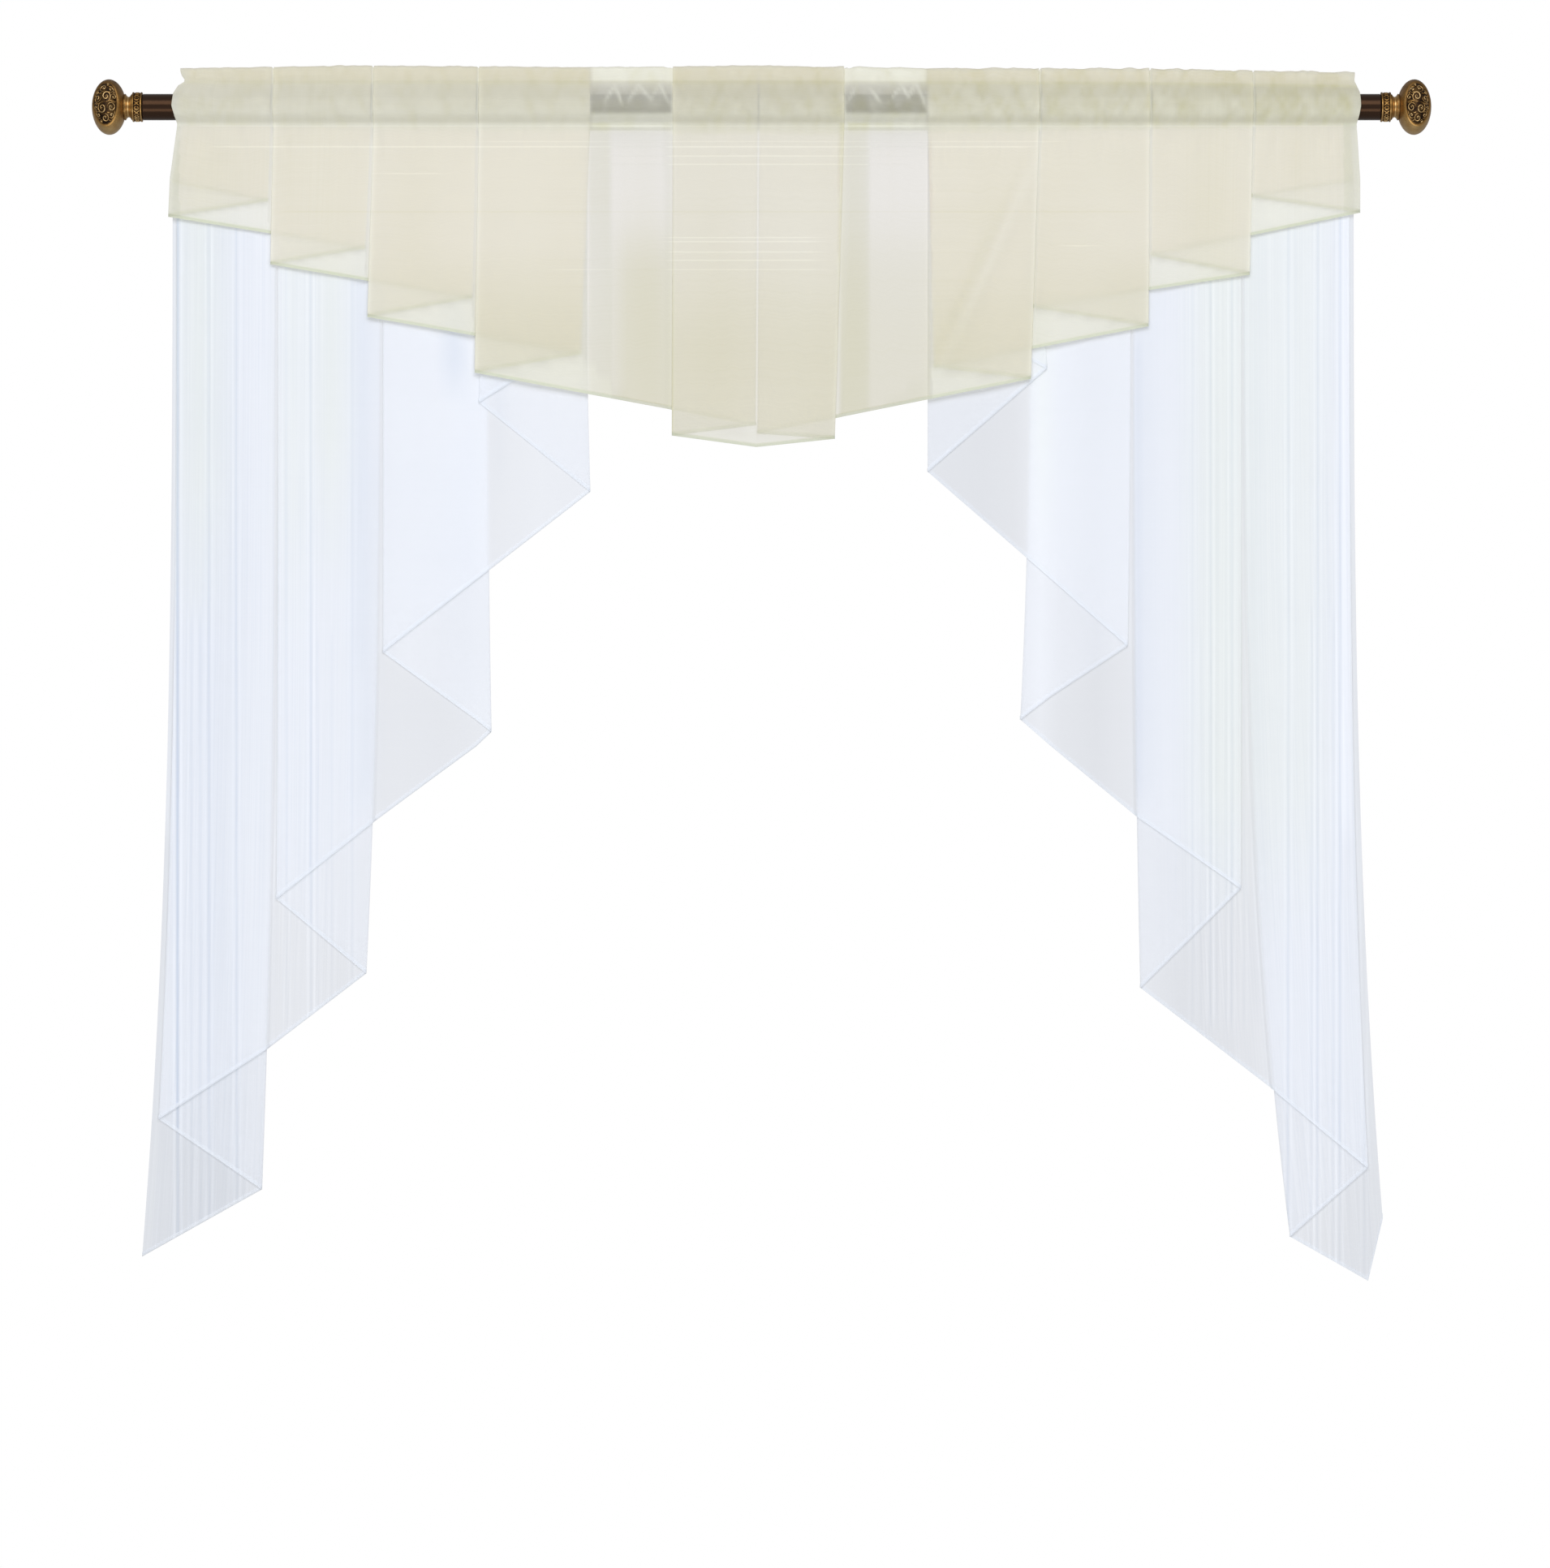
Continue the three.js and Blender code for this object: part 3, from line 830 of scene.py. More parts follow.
def hanging_tones(columns, x, z, below_heading):
    """Shade and density of the valance's folds, creases and single layers, at all its points, with painted
    shade along the folds and in the creases' troughs and painted highlight on their ridges.
    """
    front = ease(columns.level - 1)
    hangs = z < -SEAM_DROP
    high, low = columns_of(SINGLE_TONES, x)
    lowness = rise(-z, *SINGLE_LOW_REACH)
    thin = SINGLE_THIN * rise(-z, *SINGLE_THIN_REACH) * (1 - SINGLE_THIN_LOW * lowness)
    thin = thin * (low > 0) * (1 - clamp01(high / SINGLE_THIN_SHADE))
    # Painted shade in the troughs of the creases and painted highlight, as density, on their ridges
    creased = below_heading * front * crease_height(x, z, VALANCE_CREASES)
    shade = FRONT_FOLD_SHADE * columns.fold + LOW_SHADE * rise(-z, *LOW_REACH) + clouds(x, z)
    shade = shade + hangs * mix(high, low, lowness) + CREASE_SHADE_AND_HIGHLIGHT * np.maximum(-creased, 0)
    fold_dense = np.where(hangs, FOLD_DENSE, FOLD_DENSE_AT_HEADING)
    dense = CREASE_SHADE_AND_HIGHLIGHT * np.maximum(creased, 0) + fold_dense * near_front_fold(columns.head) - thin
    return shade, dense + ALONE_DENSE * front * ease((-z - hidden_hem(x)) / ALONE_FADE)


def heading_tones(columns, x, z, single, seen):
    """Shade and density that the heading adds: pocket and header, puckers with painted shade and highlight,
    and the rod behind them with painted shade in the hollow over it.
    """
    stitch = columns_of(HEADING, columns.head)[1]
    in_header = ease((z - stitch) / HEADER_FADE)
    in_pocket = 1 - in_header
    pleated = 1 - single
    wave = pucker_size(x) * pucker_wave(x, z)
    # Painted shade in the pocket's hollow over the rod
    hollow = HOLLOW_SHADE * rise(z, *ROD_EDGE) * ease((stitch - z) / HOLLOW_DEPTH)
    backing = ease(1 - columns.level) * near_front_fold(columns.head)
    gathers = clamp01(crease_height(x, z, GATHERS))
    stitching = STITCH_SHADE * np.exp(-((z - stitch) / STITCH_REACH) ** 2)
    # Painted shade in the puckers' troughs, and painted highlight, as density, on their crests
    shade = WAVE_SHADE * seen * np.maximum(-wave, 0) + stitching
    shade += pleated * mix(POCKET_SHADE + POCKET_LEAN * x, HEADER_SHADE, in_header)
    shade += single * (hollow + SINGLE_HEADER_SHADE * in_header)
    dense = WAVE_HIGHLIGHT * seen * np.maximum(wave, 0) + BACKING_DENSE * pleated * backing
    dense += single * (GATHER_DENSE * gathers + SINGLE_HEADER_DENSE * in_header)
    dense += OUTER_POCKET_DENSE * pleated * in_pocket * (np.abs(x) > OUTER_POCKET)
    for strip in POCKET_STRIPS:
        share = (single if strip.single else pleated) * in_pocket * rise(z, strip.start, strip.full)
        shade += strip.shade * share
        dense += strip.dense * share
    return shade, dense


# A sheet of cloth: its points, columns by rows, and for its material how much each point is hem, shaded,
# dense or warmer in tinge
Sheet = namedtuple("Sheet", "points hem shade dense tinge")


def valance_sheet():
    columns = pleat_columns(with_dips(VALANCE_PLEATS), lambda *levels: VALANCE_STEPS[int(min(levels))])
    y, z, angle = heading_section(columns.head)
    x = columns.head + end_inset(columns.head, z)
    single = single_layer(x)
    # The front layer is seen, and where it is alone the layer next to the rod
    seen = np.maximum(ease(columns.level - 1), single * (columns.level < 0.5))
    lift = columns.level * LAYER_PITCH + seen * heading_pucker(x, z)
    heading = np.stack([x, y + lift * np.cos(angle), z + lift * np.sin(angle)], axis=2)

    width = HEM_WIDTH * edge_slope(columns)
    fall = hem_rows(columns.drop, SEAM_DROP, VALANCE_DROP_ROWS, width)[:, 1:]
    share = (fall - SEAM_DROP) / (columns.drop - SEAM_DROP)
    hang_x = mix(columns.head, columns.hem, share)
    pitch = layer_pitch(fall, VALANCE_OPENING, VALANCE_FALL)
    relief = hanging_relief(hang_x, fall, VALANCE_CREASES)
    hang_y = -SEAM_DEPTH - columns.level * pitch + bow(hang_x, fall) - relief
    hanging = np.stack([hang_x + end_inset(hang_x, -fall), hang_y, -fall], axis=2)

    points, hem = with_turned_hem(np.concatenate([heading, hanging], axis=1), width)
    point_x, point_z = points[:, :, 0], points[:, :, 2]
    hanging_side = (np.abs(point_x) > SIDE_HEM) & (point_z < -SEAM_DROP)
    hem[hanging_side] = np.maximum(hem[hanging_side], SIDE_HEM_TONE)
    heading_rows = heading.shape[1]
    below_heading = np.arange(points.shape[1]) >= heading_rows
    shade, dense = hanging_tones(columns, point_x, point_z, below_heading)
    heading_shade, heading_dense = heading_tones(columns, x, z, single, seen)
    shade[:, :heading_rows] += heading_shade
    dense[:, :heading_rows] += heading_dense
    return Sheet(points * MM, hem, shade, dense, np.zeros_like(hem))


def tail_sheet(pleats):
    columns = pleat_columns(pleats, lambda *levels: TAIL_STEP)
    width = HEM_WIDTH * edge_slope(columns)
    fall = hem_rows(columns.drop, TAIL_TOP, TAIL_ROWS, width)
    share = (fall - TAIL_TOP) / (columns.drop - TAIL_TOP)
    x = mix(columns.head, columns.hem, share ** TAIL_SWING)
    x = x + TAIL_TUCK * end_inset(x, -fall)
    pitch = layer_pitch(fall, TAIL_OPENING, TAIL_FALL)
    relief = rise(fall, *TAIL_RELIEF_REACH) * hanging_relief(x, fall, TAIL_CREASES)
    y = TAIL_FRONT + columns.level * pitch + bow(x, fall) - relief
    points, hem = with_turned_hem(np.stack([x, y, -fall], axis=2), width)
    hem[:TAIL_SIDE_COLUMNS] = TAIL_SIDE_TONE
    hem[-TAIL_SIDE_COLUMNS:] = TAIL_SIDE_TONE

    x, z = points[:, :, 0], points[:, :, 2]
    behind = rise(columns.level, *BEHIND_LEVELS)
    dense, shade = columns_of(BEHIND_TONES, x)
    bands = band_sum(x, z, TAIL_BANDS, BAND_FADE)
    # Painted shade along the folds, and in some bands painted shadows of the folds and of the valance's hem
    shade = behind * shade + columns.fold * mix(FRONT_FOLD_SHADE, BACK_FOLD_SHADE, behind)
    shade = shade + np.maximum(bands, 0) + clouds(x, z)
    dense = behind * dense + np.maximum(-bands, 0)
    return Sheet(points * MM, hem, shade, dense, band_sum(x, z, TAIL_TINGES, TINGE_FADE))


# Meshes

def grid_faces(columns, rows, offset=0, closed=False):
    """Quads of a grid of points, whose last column joins its first where it is closed."""
    column = np.arange(columns if closed else columns - 1)[:, None]
    here = column * rows + np.arange(rows - 1) + offset
    there = (column + 1) % columns * rows + np.arange(rows - 1) + offset
    return np.stack([here, there, there + 1, here + 1], axis=2).reshape(-1, 4).tolist()


def linked(name, data):
    """An object of the scene with a mesh, a light or a camera as its data."""
    piece = bpy.data.objects.new(name, data)
    bpy.context.scene.collection.objects.link(piece)
    return piece


def new_object(name, points, faces, material):
    mesh = bpy.data.meshes.new(name)
    mesh.from_pydata(points.tolist(), [], faces)
    mesh.polygons.foreach_set("use_smooth", [True] * len(mesh.polygons))
    mesh.materials.append(material)
    mesh.validate()
    mesh.update()
    return linked(name, mesh)


def set_numbers(mesh, name, values):
    attribute = mesh.attributes.new(name, "FLOAT", "POINT")
    attribute.data.foreach_set("value", np.asarray(values, np.float32).ravel())


def add_sheet(name, sheet, material):
    """A cloth piece with its own lengths, in metres, as UV coordinates for the weave."""
    columns, rows = sheet.points.shape[:2]
    piece = new_object(name, sheet.points.reshape(-1, 3), grid_faces(columns, rows), material)
    for attribute in ("hem", "shade", "dense", "tinge"):
        set_numbers(piece.data, attribute, getattr(sheet, attribute))
    across = np.linalg.norm(np.diff(sheet.points[:, rows // 2], axis=0), axis=1)
    u = np.concatenate([[0], np.cumsum(across)])
    down = np.linalg.norm(np.diff(sheet.points, axis=1), axis=2)
    v = np.concatenate([np.zeros((columns, 1)), np.cumsum(down, axis=1)], axis=1)
    uv = np.stack([np.broadcast_to(u[:, None], v.shape), v], axis=2).reshape(-1, 2)
    corner_points = np.zeros(len(piece.data.loops), np.int32)
    piece.data.loops.foreach_get("vertex_index", corner_points)
    layer = piece.data.uv_layers.new(name="cloth")
    layer.data.foreach_set("uv", uv[corner_points].astype(np.float32).ravel())
    return piece


# Materials

class Number:
    """A number in a node tree, which takes part in sums and products."""

    def __init__(self, nodes, socket):
        self.nodes = nodes
        self.socket = socket

    def __add__(self, other):
        return self.nodes.math("ADD", self, other)

    def __sub__(self, other):
        return self.nodes.math("SUBTRACT", self, other)

    def __mul__(self, other):
        return self.nodes.math("MULTIPLY", self, other)

    def __abs__(self):
        return self.nodes.math("ABSOLUTE", self)

    def over_zero(self):
        return self.nodes.math("MAXIMUM", self, 0.0)


class Nodes:
    """A short way to make and link the nodes of a material or of the world."""

    def __init__(self, owner):
        owner.use_nodes = True
        self.owner = owner
        self.tree = owner.node_tree
        self.tree.nodes.clear()

    def add(self, kind, links=None, **settings):
        node = self.tree.nodes.new(kind)
        for key, value in settings.items():
            setattr(node, key, value)
        for socket, value in (links or {}).items():
            if isinstance(value, Number):
                value = value.socket
            if isinstance(value, bpy.types.NodeSocket):
                self.tree.links.new(value, node.inputs[socket])
            else:
                node.inputs[socket].default_value = value
        return node

    def shader(self, kind, links=None):
        return self.add(f"ShaderNode{kind}", links).outputs[0]

    def number(self, kind, output, links=None, **settings):
        return Number(self, self.add(f"ShaderNode{kind}", links, **settings).outputs[output])

    def math(self, operation, *values, clamp=False):
        return self.number("Math", 0, dict(enumerate(values)), operation=operation, use_clamp=clamp)

    def attribute(self, name):
        return self.number("Attribute", "Fac", attribute_name=name)

    def colour_mix(self, share, first, second):
        return self.add("ShaderNodeMix", {0: share, 6: first, 7: second}, data_type="RGBA").outputs[2]

    def range(self, value, zero_at, one_at):
        return self.number("MapRange", 0, {"Value": value, "From Min": zero_at, "From Max": one_at})

    def noise(self, vector, scale, detail=2.0, roughness=0.5):
        links = {"Vector": vector, "Scale": scale, "Detail": detail, "Roughness": roughness}
        return self.number("TexNoise", "Fac", links)

    def bump(self, height, strength, distance):
        return self.shader("Bump", {"Height": height, "Strength": strength, "Distance": distance * MM})

    def place(self):
        return self.add("ShaderNodeTexCoord").outputs["Object"]

    def stretched(self, vector, scale):
        return self.add("ShaderNodeMapping", {"Vector": vector, "Scale": scale}).outputs["Vector"]

    def output(self, shader, kind="OutputMaterial"):
        self.add(f"ShaderNode{kind}", {"Surface": shader})
        return self.owner


# Weave of the voile: its threads, their slubs, and how much the weave shows. A wave texture repeats
# WAVE_FACTOR times over 2 pi.
THREAD_SPACING = 0.55
WAVE_FACTOR = 20
SLUB_ALONG = 3.5
SLUB_ACROSS = 620
SLUB_REACH = (370, 430)
SLUB_RELIEF = 2.0
WEAVE_MEAN = 0.25
WEAVE_CONTRAST = 0.12
DENSE_SHINE = 0.4


def thread_lines(nodes, across, along, threads):
    """Sum of the lines of a table of threads, from coordinates in millimetres across and along them."""
    total = 0.0
    for thread in threads:
        distance, *others = [abs(across - place) for place in thread.places]
        for other in others:
            distance = nodes.math("MINIMUM", distance, other)
        line = nodes.range(distance, thread.width, 0)
        if thread.flank:
            beside = abs(distance - FLANK_PLACE * thread.width)
            line = line - nodes.range(beside, FLANK_WIDTH * thread.width, 0) * thread.flank
        line = line * nodes.range(along, thread.start, thread.start + THREAD_FADE)
        line = line * nodes.range(along, thread.end, thread.end - THREAD_FADE)
        total = nodes.math("MULTIPLY_ADD", line, thread.strength, total)
    return total


# Looks of a sheer cloth: the colours of its threads, hems, shades and tinges, the tint of its gaps, how
# much the threads cover and let light through, how a hem changes the cover, and how uneven warp and
# weft are
Voile = namedtuple("Voile", "colour hem_colour shade_colour tinge_colour tint opacity through hem_cover "
                            "warp_slub weft_slub")
IVORY_LOOK = Voile(
    colour=(0.92, 0.907, 0.822, 1), hem_colour=(0.78, 0.81, 0.66, 1),
    shade_colour=(0.68, 0.655, 0.34, 1), tinge_colour=(0.92, 0.907, 0.822, 1), tint=(1, 0.945, 0.94, 1),
    opacity=0.76, through=0.53, hem_cover=-0.45, warp_slub=0.15, weft_slub=0.2)
WHITE_LOOK = Voile(
    colour=(0.944, 0.949, 0.959, 1), hem_colour=(0.93, 0.943, 0.958, 1),
    shade_colour=(0.78, 0.82, 0.88, 1), tinge_colour=(0.93, 0.942, 0.89, 1), tint=(0.98, 0.99, 1, 1),
    opacity=0.90, through=0.52, hem_cover=-0.6, warp_slub=0.9, weft_slub=0.1)


def voile(name, look, threads, threads_run_down):
    """Sheer woven cloth: threads that reflect and let light through, with clear gaps between them."""
    nodes = Nodes(bpy.data.materials.new(name))
    uv = nodes.add("ShaderNodeUVMap", uv_map="cloth").outputs["UV"]
    wave = {"Vector": uv, "Scale": 2 * math.pi / (WAVE_FACTOR * THREAD_SPACING * MM)}
    warp, weft = (nodes.number("TexWave", "Fac", wave, bands_direction=way) for way in "XY")
    weave = warp * weft
    warp_slub = nodes.noise(nodes.stretched(uv, (SLUB_ACROSS, SLUB_ALONG, 1)), 1.0)
    weft_slub = nodes.noise(nodes.stretched(uv, (SLUB_ALONG, SLUB_ACROSS, 1)), 1.0)
    links = {0: nodes.place(), "Scale": 1 / MM}
    place = nodes.add("ShaderNodeVectorMath", links, operation="SCALE").outputs[0]
    place = nodes.add("ShaderNodeSeparateXYZ", {0: place}).outputs
    x, z = Number(nodes, place["X"]), Number(nodes, place["Z"])
    outer = nodes.range(abs(x), *SLUB_REACH)
    slub = (warp_slub - 0.5) * outer * look.warp_slub + (weft_slub - 0.5) * look.weft_slub
    lines = thread_lines(nodes, x, z, threads) if threads_run_down else thread_lines(nodes, z, x, threads)

    hem = nodes.attribute("hem")
    # The shade attribute darkens the colour, as the cloth's own tone and as painted shade and shadows
    shaded = nodes.math("ADD", nodes.attribute("shade") + lines.over_zero(), slub.over_zero(), clamp=True)
    tone = nodes.colour_mix(shaded, look.colour, look.shade_colour)
    tone = nodes.colour_mix(nodes.attribute("tinge"), tone, look.tinge_colour)
    tone = nodes.colour_mix(hem, tone, look.hem_colour)

    doubled = nodes.attribute("dense") + ((lines * -1.0).over_zero() + (slub * -1.0).over_zero())
    dense = doubled + hem * look.hem_cover + (weave - WEAVE_MEAN) * WEAVE_CONTRAST
    cover = nodes.math("ADD", dense * (1 - look.opacity), look.opacity, clamp=True)
    shine = nodes.range(doubled, 1, 0) * ((1 - DENSE_SHINE) * look.through) + DENSE_SHINE * look.through

    bump = nodes.bump(weave + slub * SLUB_RELIEF, 0.25, 0.08)
    reflecting = nodes.shader("BsdfPrincipled", {
        "Base Color": tone, "Roughness": 0.85, "Specular IOR Level": 0.2,
        "Sheen Weight": 0.15, "Sheen Roughness": 0.4, "Normal": bump})
    glowing = nodes.shader("BsdfTranslucent", {"Color": tone, "Normal": bump})
    cloth = nodes.shader("MixShader", {0: shine, 1: reflecting, 2: glowing})
    gaps = nodes.shader("BsdfTransparent", {"Color": look.tint})
    return nodes.output(nodes.shader("MixShader", {0: cover, 1: gaps, 2: cloth}))


def rod_finish():
    """Glossy dark brown paint with faint lines drawn along the tube."""
    nodes = Nodes(bpy.data.materials.new("rod_finish"))
    place = nodes.place()
    lines = nodes.noise(nodes.stretched(place, (6, 900, 900)), 1.0, 3.0)
    specks = nodes.noise(place, 900.0, 2.0)
    colour = nodes.colour_mix(lines, (0.012, 0.007, 0.005, 1), (0.026, 0.0145, 0.0095, 1))
    return nodes.output(nodes.shader("BsdfPrincipled", {
        "Base Color": colour, "Specular IOR Level": 0.25, "Specular Tint": (1, 0.5, 0.24, 1),
        "Roughness": specks * 0.05 + 0.2, "Normal": nodes.bump(lines, 0.08, 0.05)}))


def antique_bronze():
    """Cast bronze, dark in the hollows and rubbed bright on what stands out, with painted shade on top and
    painted reflection underneath carried in the same share.
    """
    nodes = Nodes(bpy.data.materials.new("antique_bronze"))
    place = nodes.place()
    blotches = nodes.noise(place, 160.0, 4.0, 0.6)
    grain = nodes.noise(place, 1400.0, 2.0)
    wear_and_shade = nodes.math("ADD", nodes.attribute("wear_and_shade"), (blotches - 0.5) * 0.5, clamp=True)
    ramp = nodes.add("ShaderNodeValToRGB", {"Fac": wear_and_shade})
    stops = ramp.color_ramp.elements
    stops[0].color = (0.022, 0.011, 0.006, 1)
    stops[1].color = (0.7, 0.53, 0.27, 1)
    stops.new(0.45).color = (0.36, 0.19, 0.05, 1)
    return nodes.output(nodes.shader("BsdfPrincipled", {
        "Base Color": ramp.outputs[0], "Metallic": 0.92,
        "Roughness": nodes.math("SUBTRACT", 0.52, wear_and_shade * 0.26),
        "Normal": nodes.bump(blotches + grain * 0.4, 0.3, 0.3)}))


# Turned and cast pieces

class Cast:
    """Collects grids of points as one mesh, with how worn each point is, which on some pieces is also
    painted shade and reflection.
    """

    def __init__(self):
        self.points = []
        self.faces = []
        self.wear_and_shade = []
        self.count = 0

    def add(self, grid, wear_and_shade):
        """A grid whose last column joins its first."""
        columns, rows = grid.shape[:2]
        self.faces.extend(grid_faces(columns, rows, self.count, closed=True))
        self.points.append(grid.reshape(-1, 3))
        self.wear_and_shade.append(np.broadcast_to(wear_and_shade, (columns, rows)).ravel())
        self.count += columns * rows

    def build(self, name, node, material):
        piece = new_object(name, np.concatenate(self.points) * MM, self.faces, material)
        set_numbers(piece.data, "wear_and_shade", np.concatenate(self.wear_and_shade))
        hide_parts(node)
        return piece


def around_rod(radius, angle, along, side):
    """Points at a radius and angle about the rod, 0 at the front and rising, at a distance along it."""
    radius, angle, along = np.broadcast_arrays(radius, angle, along)
    return np.stack([side * along, -radius * np.cos(angle), radius * np.sin(angle)], axis=-1)


def turned(profile, side):
    """Grid and worn share, with any painted shade, of a turned piece from its profile of radius, distance
    along the rod and worn share.
    """
    angle = -side * full_turn(TURNED_SIDES)
    radius, along, wear_and_shade = np.array(profile).T
    return around_rod(radius, angle, along, side), wear_and_shade


def tapered_bar(path, normal, bar_radius, taper):
    """Grid of a round bar along a path, thickest in its middle and drawn to a point at both ends."""
    tangent = unit(np.gradient(path, axis=0))
    binormal = unit(np.cross(tangent, normal))
    up = np.cross(binormal, tangent)
    radii = bar_radius * np.maximum(np.sin(math.pi * np.linspace(0, 1, len(path))) ** taper, BAR_TIP)
    angle = full_turn(BAR_SIDES)[:, None]
    return path + radii[:, None] * (np.cos(angle) * binormal + np.sin(angle) * up)


def on_knob(around, across, lift, side):
    """Points of the knob, by distances around it and across to its tip, both from the front of its
    widest ring, and by height over the ground of its relief."""
    polar = math.pi / 2 - across / KNOB_PROFILE_RADIUS
    radius = (KNOB_RADIUS - KNOB_RELIEF + lift) * np.sin(polar)
    along = KNOB_MIDDLE + (KNOB_HALF_LENGTH - KNOB_RELIEF + lift) * np.cos(polar)
    return around_rod(radius, around / KNOB_RADIUS, along, side)


def add_knob_bar(cast, around, across, side, bar_radius, lift, wear_and_shade):
    """A raised bar of the scrollwork, worn most on its back."""
    path = on_knob(around, across, lift, side)
    normal = on_knob(around, across, lift + 1, side) - path
    grid = tapered_bar(path, normal, bar_radius, SCROLL_TAPER)
    height = np.einsum("abc,bc->ab", grid - path, normal)
    cast.add(grid, np.clip(wear_and_shade * mix(*BAR_WEAR, height / bar_radius), LEAST_WEAR, 1))


def add_bud(cast, around, across, side):
    """A round bud in the eye of a scroll."""
    turn = full_turn(BUD_SIDES)
    height = np.linspace(0, BUD_TIP_ANGLE, BUD_RINGS)
    reach = BUD_RADIUS * np.cos(height)
    lift = BUD_LIFT + BUD_RADIUS * np.sin(height)
    grid = on_knob(around + reach * np.cos(turn), across + reach * np.sin(turn), lift, side)
    cast.add(grid, mix(*BUD_WEAR, np.sin(height)))


def scroll_path(scroll):
    """Points around and across of a scroll that winds in to its eye."""
    share = np.linspace(0, 1, SCROLL_POINTS)
    angle = scroll.start + scroll.hand * scroll.turns * 2 * math.pi * share
    reach = scroll.radius * mix(1, SCROLL_EYE, share)
    return scroll.around + reach * np.cos(angle), scroll.across + reach * np.sin(angle)


def leaf_path(leaf):
    """Points around and across of a leaf, bent aside in its middle."""
    share = np.linspace(0, 1, LEAF_POINTS)
    bend = leaf.bend * np.sin(math.pi * share)
    around = mix(leaf.around_from, leaf.around_to, share) + bend
    return around, mix(leaf.across_from, leaf.across_to, share) + LEAF_SKEW * bend


def add_scrollwork(cast, centre, side):
    """Scrolls, buds and leaves of a medallion, whose halves are half a turn apart."""
    def placed(half, around, across):
        return half * around + centre, half * across + MEDALLION_SHIFT

    for half in (1, -1):
        for scroll in SCROLLS:
            bar_radius = SCROLL_BAR_RADIUS + SCROLL_GROWTH * scroll.radius
            path = placed(half, *scroll_path(scroll))
            add_knob_bar(cast, *path, side, bar_radius, SCROLL_LIFT, SCROLL_WEAR)
            add_bud(cast, *placed(half, scroll.around, scroll.across), side)
        for leaf in LEAVES:
            path = placed(half, *leaf_path(leaf))
            add_knob_bar(cast, *path, side, leaf.bar_radius, LEAF_LIFT, LEAF_WEAR)


def neck_profile():
    """Radius, distance along the rod and worn share of the neck: a flange, a waist and a bead, which is
    kept dark as a painted shadow under the knob's shoulder.
    """
    flange = NECK_SHOULDER_RADIUS - NECK_BEVEL
    profile = [(0, 0, 0.3), (flange, 0, 0.3), (NECK_SHOULDER_RADIUS, NECK_BEVEL, 0.3)]
    waist_start, waist_end = (share * NECK_LENGTH for share in NECK_WAIST)
    for share in np.linspace(0, 1, NECK_WAIST_RINGS):
        waist = max(0, math.sin(math.pi * share)) ** NECK_WAIST_CURVE
        radius = mix(NECK_SHOULDER_RADIUS, NECK_RADIUS, waist)
        profile.append((radius, mix(waist_start, waist_end, share), 0.6))
    turns = np.linspace(-math.pi / 2, math.pi / 2, len(NECK_BEAD_WEAR_AND_SHADOW))
    for turn, wear_and_shade in zip(turns, NECK_BEAD_WEAR_AND_SHADOW):
        radius = NECK_SHOULDER_RADIUS - NECK_BEAD_INSET + NECK_BEAD * math.cos(turn)
        profile.append((radius, waist_end + NECK_BEAD + NECK_BEAD * math.sin(turn), wear_and_shade))
    profile.append((NECK_SHOULDER_RADIUS, NECK_LENGTH, 0.1))
    return [(radius, KNOB_START + along, wear_and_shade) for radius, along, wear_and_shade in profile]


def add_finial(side_name, side, bronze):
    cast = Cast()
    cast.add(*turned(neck_profile(), side))
    angle = -side * full_turn(KNOB_SIDES)
    polar = np.linspace(math.pi - KNOB_SHOULDER, KNOB_TIP_ANGLE, KNOB_RINGS)[None, :]
    around, across = KNOB_RADIUS * angle, (math.pi / 2 - polar) * KNOB_PROFILE_RADIUS
    half_girth = math.pi * KNOB_RADIUS
    centres = (MEDALLION_RISE, half_girth - MEDALLION_RISE)
    rim = np.ones_like(around * across)
    for centre in centres:
        from_middle = around - centre - 2 * half_girth * np.round((around - centre) / (2 * half_girth))
        reach = np.hypot(from_middle / MEDALLION_AROUND, (across - MEDALLION_SHIFT) / MEDALLION_ACROSS)
        rim = np.minimum(rim, rise(reach, *MEDALLION_EDGE))
    # The raised rim is rubbed bright, darker towards the top as painted shade and brighter underneath as
    # painted reflection
    wear_and_shade = HOLLOW_WEAR + rim * mix(*KNOB_WEAR_AND_SHADE, np.sin(angle) * np.sin(polar))
    cast.add(on_knob(around, across, KNOB_RELIEF * rim, side), wear_and_shade)
    for centre in centres:
        add_scrollwork(cast, centre, side)
    return cast.build(f"finial_{side_name}_knob", f"finial_{side_name}", bronze)


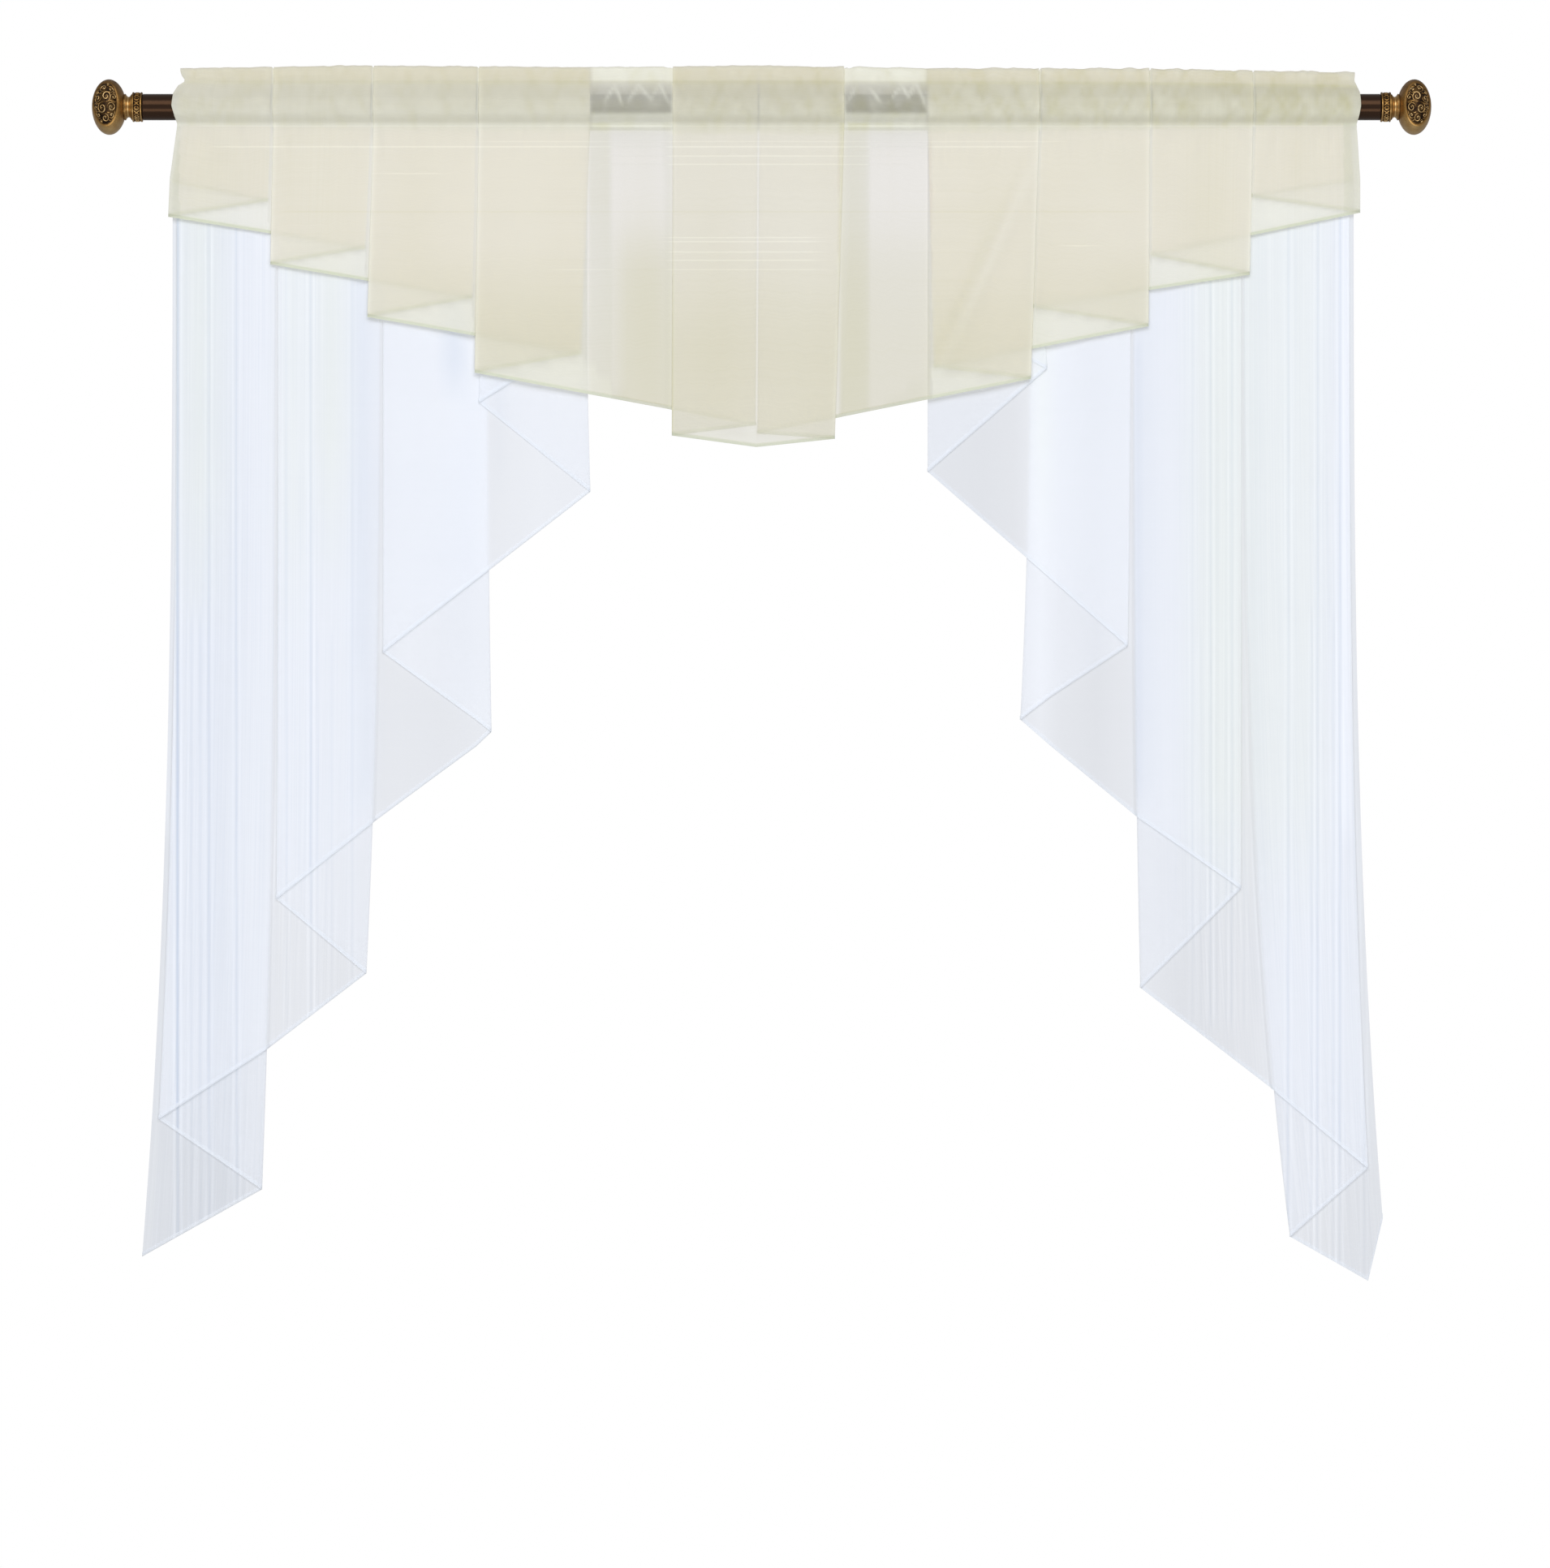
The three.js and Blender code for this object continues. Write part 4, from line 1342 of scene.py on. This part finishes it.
def add_collar(side_name, side, bronze):
    cast = Cast()
    end = COLLAR_START + COLLAR_WIDTH
    groove = COLLAR_RADIUS - COLLAR_GROOVE
    rim = [
        (0, 0, 0.1),
        (COLLAR_RADIUS - COLLAR_BEVEL, 0, 0.3),
        (COLLAR_RADIUS, COLLAR_BEVEL, 0.5),
        (COLLAR_RADIUS, COLLAR_RIM - COLLAR_BEVEL, 0.5),
        (COLLAR_RADIUS - COLLAR_BEVEL, COLLAR_RIM, 0.2),
        (groove, COLLAR_RIM + COLLAR_BEVEL, 0.04),
    ]
    profile = [(radius, COLLAR_START + along, wear_and_shade) for radius, along, wear_and_shade in rim]
    profile += [(radius, end - along, wear_and_shade) for radius, along, wear_and_shade in reversed(rim)]
    grid, wear_and_shade = turned(profile, side)
    # Darker towards the top as painted shade, and brighter underneath as painted reflection of the light
    # from below
    cast.add(grid, wear_and_shade * mix(*COLLAR_WEAR_AND_SHADE, grid[:, :, 2] / COLLAR_RADIUS))

    middle = COLLAR_START + COLLAR_WIDTH / 2
    half_width = COLLAR_WIDTH / 2 - COLLAR_RIM - COLLAR_BAR_MARGIN
    pitch = 2 * math.pi / COLLAR_REPEATS

    def add_bar(turn, across, bar_radius):
        angle, along = turn * pitch, middle + across * half_width
        path = around_rod(groove + COLLAR_BAR_LIFT, angle, along, side)
        normal = around_rod(1.0, angle, 0 * along, side)
        # Bars darker towards the top, as painted shade
        wear_and_shade = mix(*COLLAR_BAR_WEAR_AND_SHADE, np.sin(angle))
        cast.add(tapered_bar(path, normal, bar_radius, COLLAR_BAR_TAPER), wear_and_shade)

    line = np.linspace(-1, 1, CROSS_POINTS)
    ring = np.linspace(0, 2 * math.pi, RING_POINTS)
    for repeat in range(COLLAR_REPEATS):
        centre = repeat + COLLAR_TURN
        for slant in (1, -1):
            add_bar(centre + slant * CROSS_REACH * line, line, CROSS_BAR_RADIUS)
        add_bar(centre + 0.5 + RING_REACH * np.cos(ring), RING_SPAN * np.sin(ring), RING_BAR_RADIUS)
    return cast.build(f"collar_{side_name}_ring", f"collar_{side_name}", bronze)


def add_rod(finish):
    cast = Cast()
    shoulder = ROD_HALF_LENGTH - ROD_BEVEL
    straight = shoulder - ROD_BEVEL
    profile = [(0, -ROD_HALF_LENGTH, 0), (ROD_RADIUS - ROD_BEVEL, -ROD_HALF_LENGTH, 0)]
    for along in (-shoulder, *np.linspace(-straight, straight, ROD_RINGS), shoulder):
        profile.append((ROD_RADIUS, along, 0))
    profile += [(ROD_RADIUS - ROD_BEVEL, ROD_HALF_LENGTH, 0), (0, ROD_HALF_LENGTH, 0)]
    cast.add(*turned(profile, 1))
    return cast.build("rod_tube", "rod", finish)


# Stage, with sizes in metres
CAMERA_DISTANCE = 6.0
SENSOR = 36.0
FLOOR_HEIGHT = -1.63
FLOOR_RADIUS = 1.6
FLOOR_FADE_START = 0.48
FLOOR_COVER = 0.5
FLOOR_SIDES = 96
FLOOR_RINGS = 12
# A soft light in front of the rod: its elevation in degrees, its size and its power in watts
Softbox = namedtuple("Softbox", "name elevation width height power")
SOFTBOXES = table(Softbox, [
    ("top_light", 35, 6.5, 3.6, 335),
    ("low_light", -33, 6.0, 2.0, 171),
])
LIGHT_DISTANCE = 6.0
LIGHT_COLOUR = (0.884, 0.92, 1)
BACKDROP_SEEN = (1, 1, 1, 1)
BACKDROP_LIGHT = (0.38, 0.38, 0.38, 1)


def add_camera():
    data = bpy.data.cameras.new("camera")
    camera = linked("camera", data)
    data.sensor_width = SENSOR
    data.lens = SENSOR * CAMERA_DISTANCE / (IMAGE_HEIGHT * PIXEL_SIZE * MM)
    centre_x = (IMAGE_WIDTH / 2 - ROD_MIDDLE_COLUMN) * PIXEL_SIZE * MM
    centre_z = (ROD_MIDDLE_ROW - IMAGE_HEIGHT / 2) * PIXEL_SIZE * MM
    camera.location = (centre_x, -CAMERA_DISTANCE, centre_z)
    camera.rotation_euler = (math.pi / 2, 0, 0)
    bpy.context.scene.camera = camera


def add_lights():
    for box in SOFTBOXES:
        data = bpy.data.lights.new(box.name, "AREA")
        data.shape = "RECTANGLE"
        data.size, data.size_y, data.energy = box.width, box.height, box.power
        data.color = LIGHT_COLOUR
        light = linked(box.name, data)
        elevation = math.radians(box.elevation)
        light.location = (0, -LIGHT_DISTANCE * math.cos(elevation), LIGHT_DISTANCE * math.sin(elevation))
        light.rotation_euler = (math.pi / 2 - elevation, 0, 0)
        light.visible_camera = False


def add_backdrop():
    """A white backdrop that the camera sees at full white and that lights the cloth more softly."""
    world = bpy.data.worlds.new("backdrop")
    bpy.context.scene.world = world
    nodes = Nodes(world)
    seen = nodes.shader("Background", {"Color": BACKDROP_SEEN})
    lighting = nodes.shader("Background", {"Color": BACKDROP_LIGHT})
    from_camera = nodes.number("LightPath", "Is Camera Ray")
    nodes.output(nodes.shader("MixShader", {0: from_camera, 1: lighting, 2: seen}), "OutputWorld")


def add_floor():
    """A pale floor under the curtain that fades into the backdrop."""
    nodes = Nodes(bpy.data.materials.new("pale_floor"))
    reach = nodes.number("VectorMath", "Value", {0: nodes.place()}, operation="LENGTH")
    fade = nodes.number("MapRange", 0, {
        "Value": reach, "From Min": FLOOR_FADE_START, "From Max": FLOOR_RADIUS,
        "To Min": FLOOR_COVER, "To Max": 0.0}, interpolation_type="SMOOTHSTEP")
    ground = nodes.shader("BsdfPrincipled", {"Base Color": (0.9, 0.9, 0.9, 1), "Roughness": 0.8})
    clear = nodes.shader("BsdfTransparent")
    material = nodes.output(nodes.shader("MixShader", {0: fade, 1: clear, 2: ground}))
    angle = full_turn(FLOOR_SIDES)
    radius = np.linspace(0, FLOOR_RADIUS, FLOOR_RINGS)[None, :]
    grid = np.stack([radius * np.cos(angle), radius * np.sin(angle), 0 * radius * angle], axis=2)
    faces = grid_faces(FLOOR_SIDES, FLOOR_RINGS, closed=True)
    floor = new_object("floor", grid.reshape(-1, 3), faces, material)
    floor.location = (0, 0, FLOOR_HEIGHT)


def main():
    scene = bpy.context.scene
    scene.view_settings.view_transform = "Standard"
    scene.cycles.transparent_max_bounces = 64
    scene.cycles.diffuse_bounces = 12
    scene.cycles.max_bounces = 24
    add_camera()
    add_lights()
    add_backdrop()
    add_floor()

    ivory = voile("ivory_voile", IVORY_LOOK, VALANCE_THREADS, threads_run_down=False)
    white = voile("white_voile", WHITE_LOOK, TAIL_THREADS, threads_run_down=True)
    bronze = antique_bronze()
    pieces = [("rod_finish", add_rod(rod_finish()))]
    for side_name, side in (("left", -1), ("right", 1)):
        pieces.append(("antique_bronze", add_collar(side_name, side, bronze)))
        pieces.append(("antique_bronze", add_finial(side_name, side, bronze)))

    cloths = [
        ("valance", valance_sheet(), ivory, "ivory_voile", "gathered", (3.1, 0.48)),
        ("tail_left", tail_sheet(LEFT_TAIL_PLEATS), white, "white_voile", "hung", (1.26, 1.12)),
        ("tail_right", tail_sheet(RIGHT_TAIL_PLEATS), white, "white_voile", "hung", (1.26, 1.14)),
    ]
    for node, sheet, material, slot, held, flat in cloths:
        piece = add_sheet(f"{node}_cloth", sheet, material)
        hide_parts(node)
        pieces.append((slot, piece))
    for slot, piece in pieces:
        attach(piece, "root")


main()
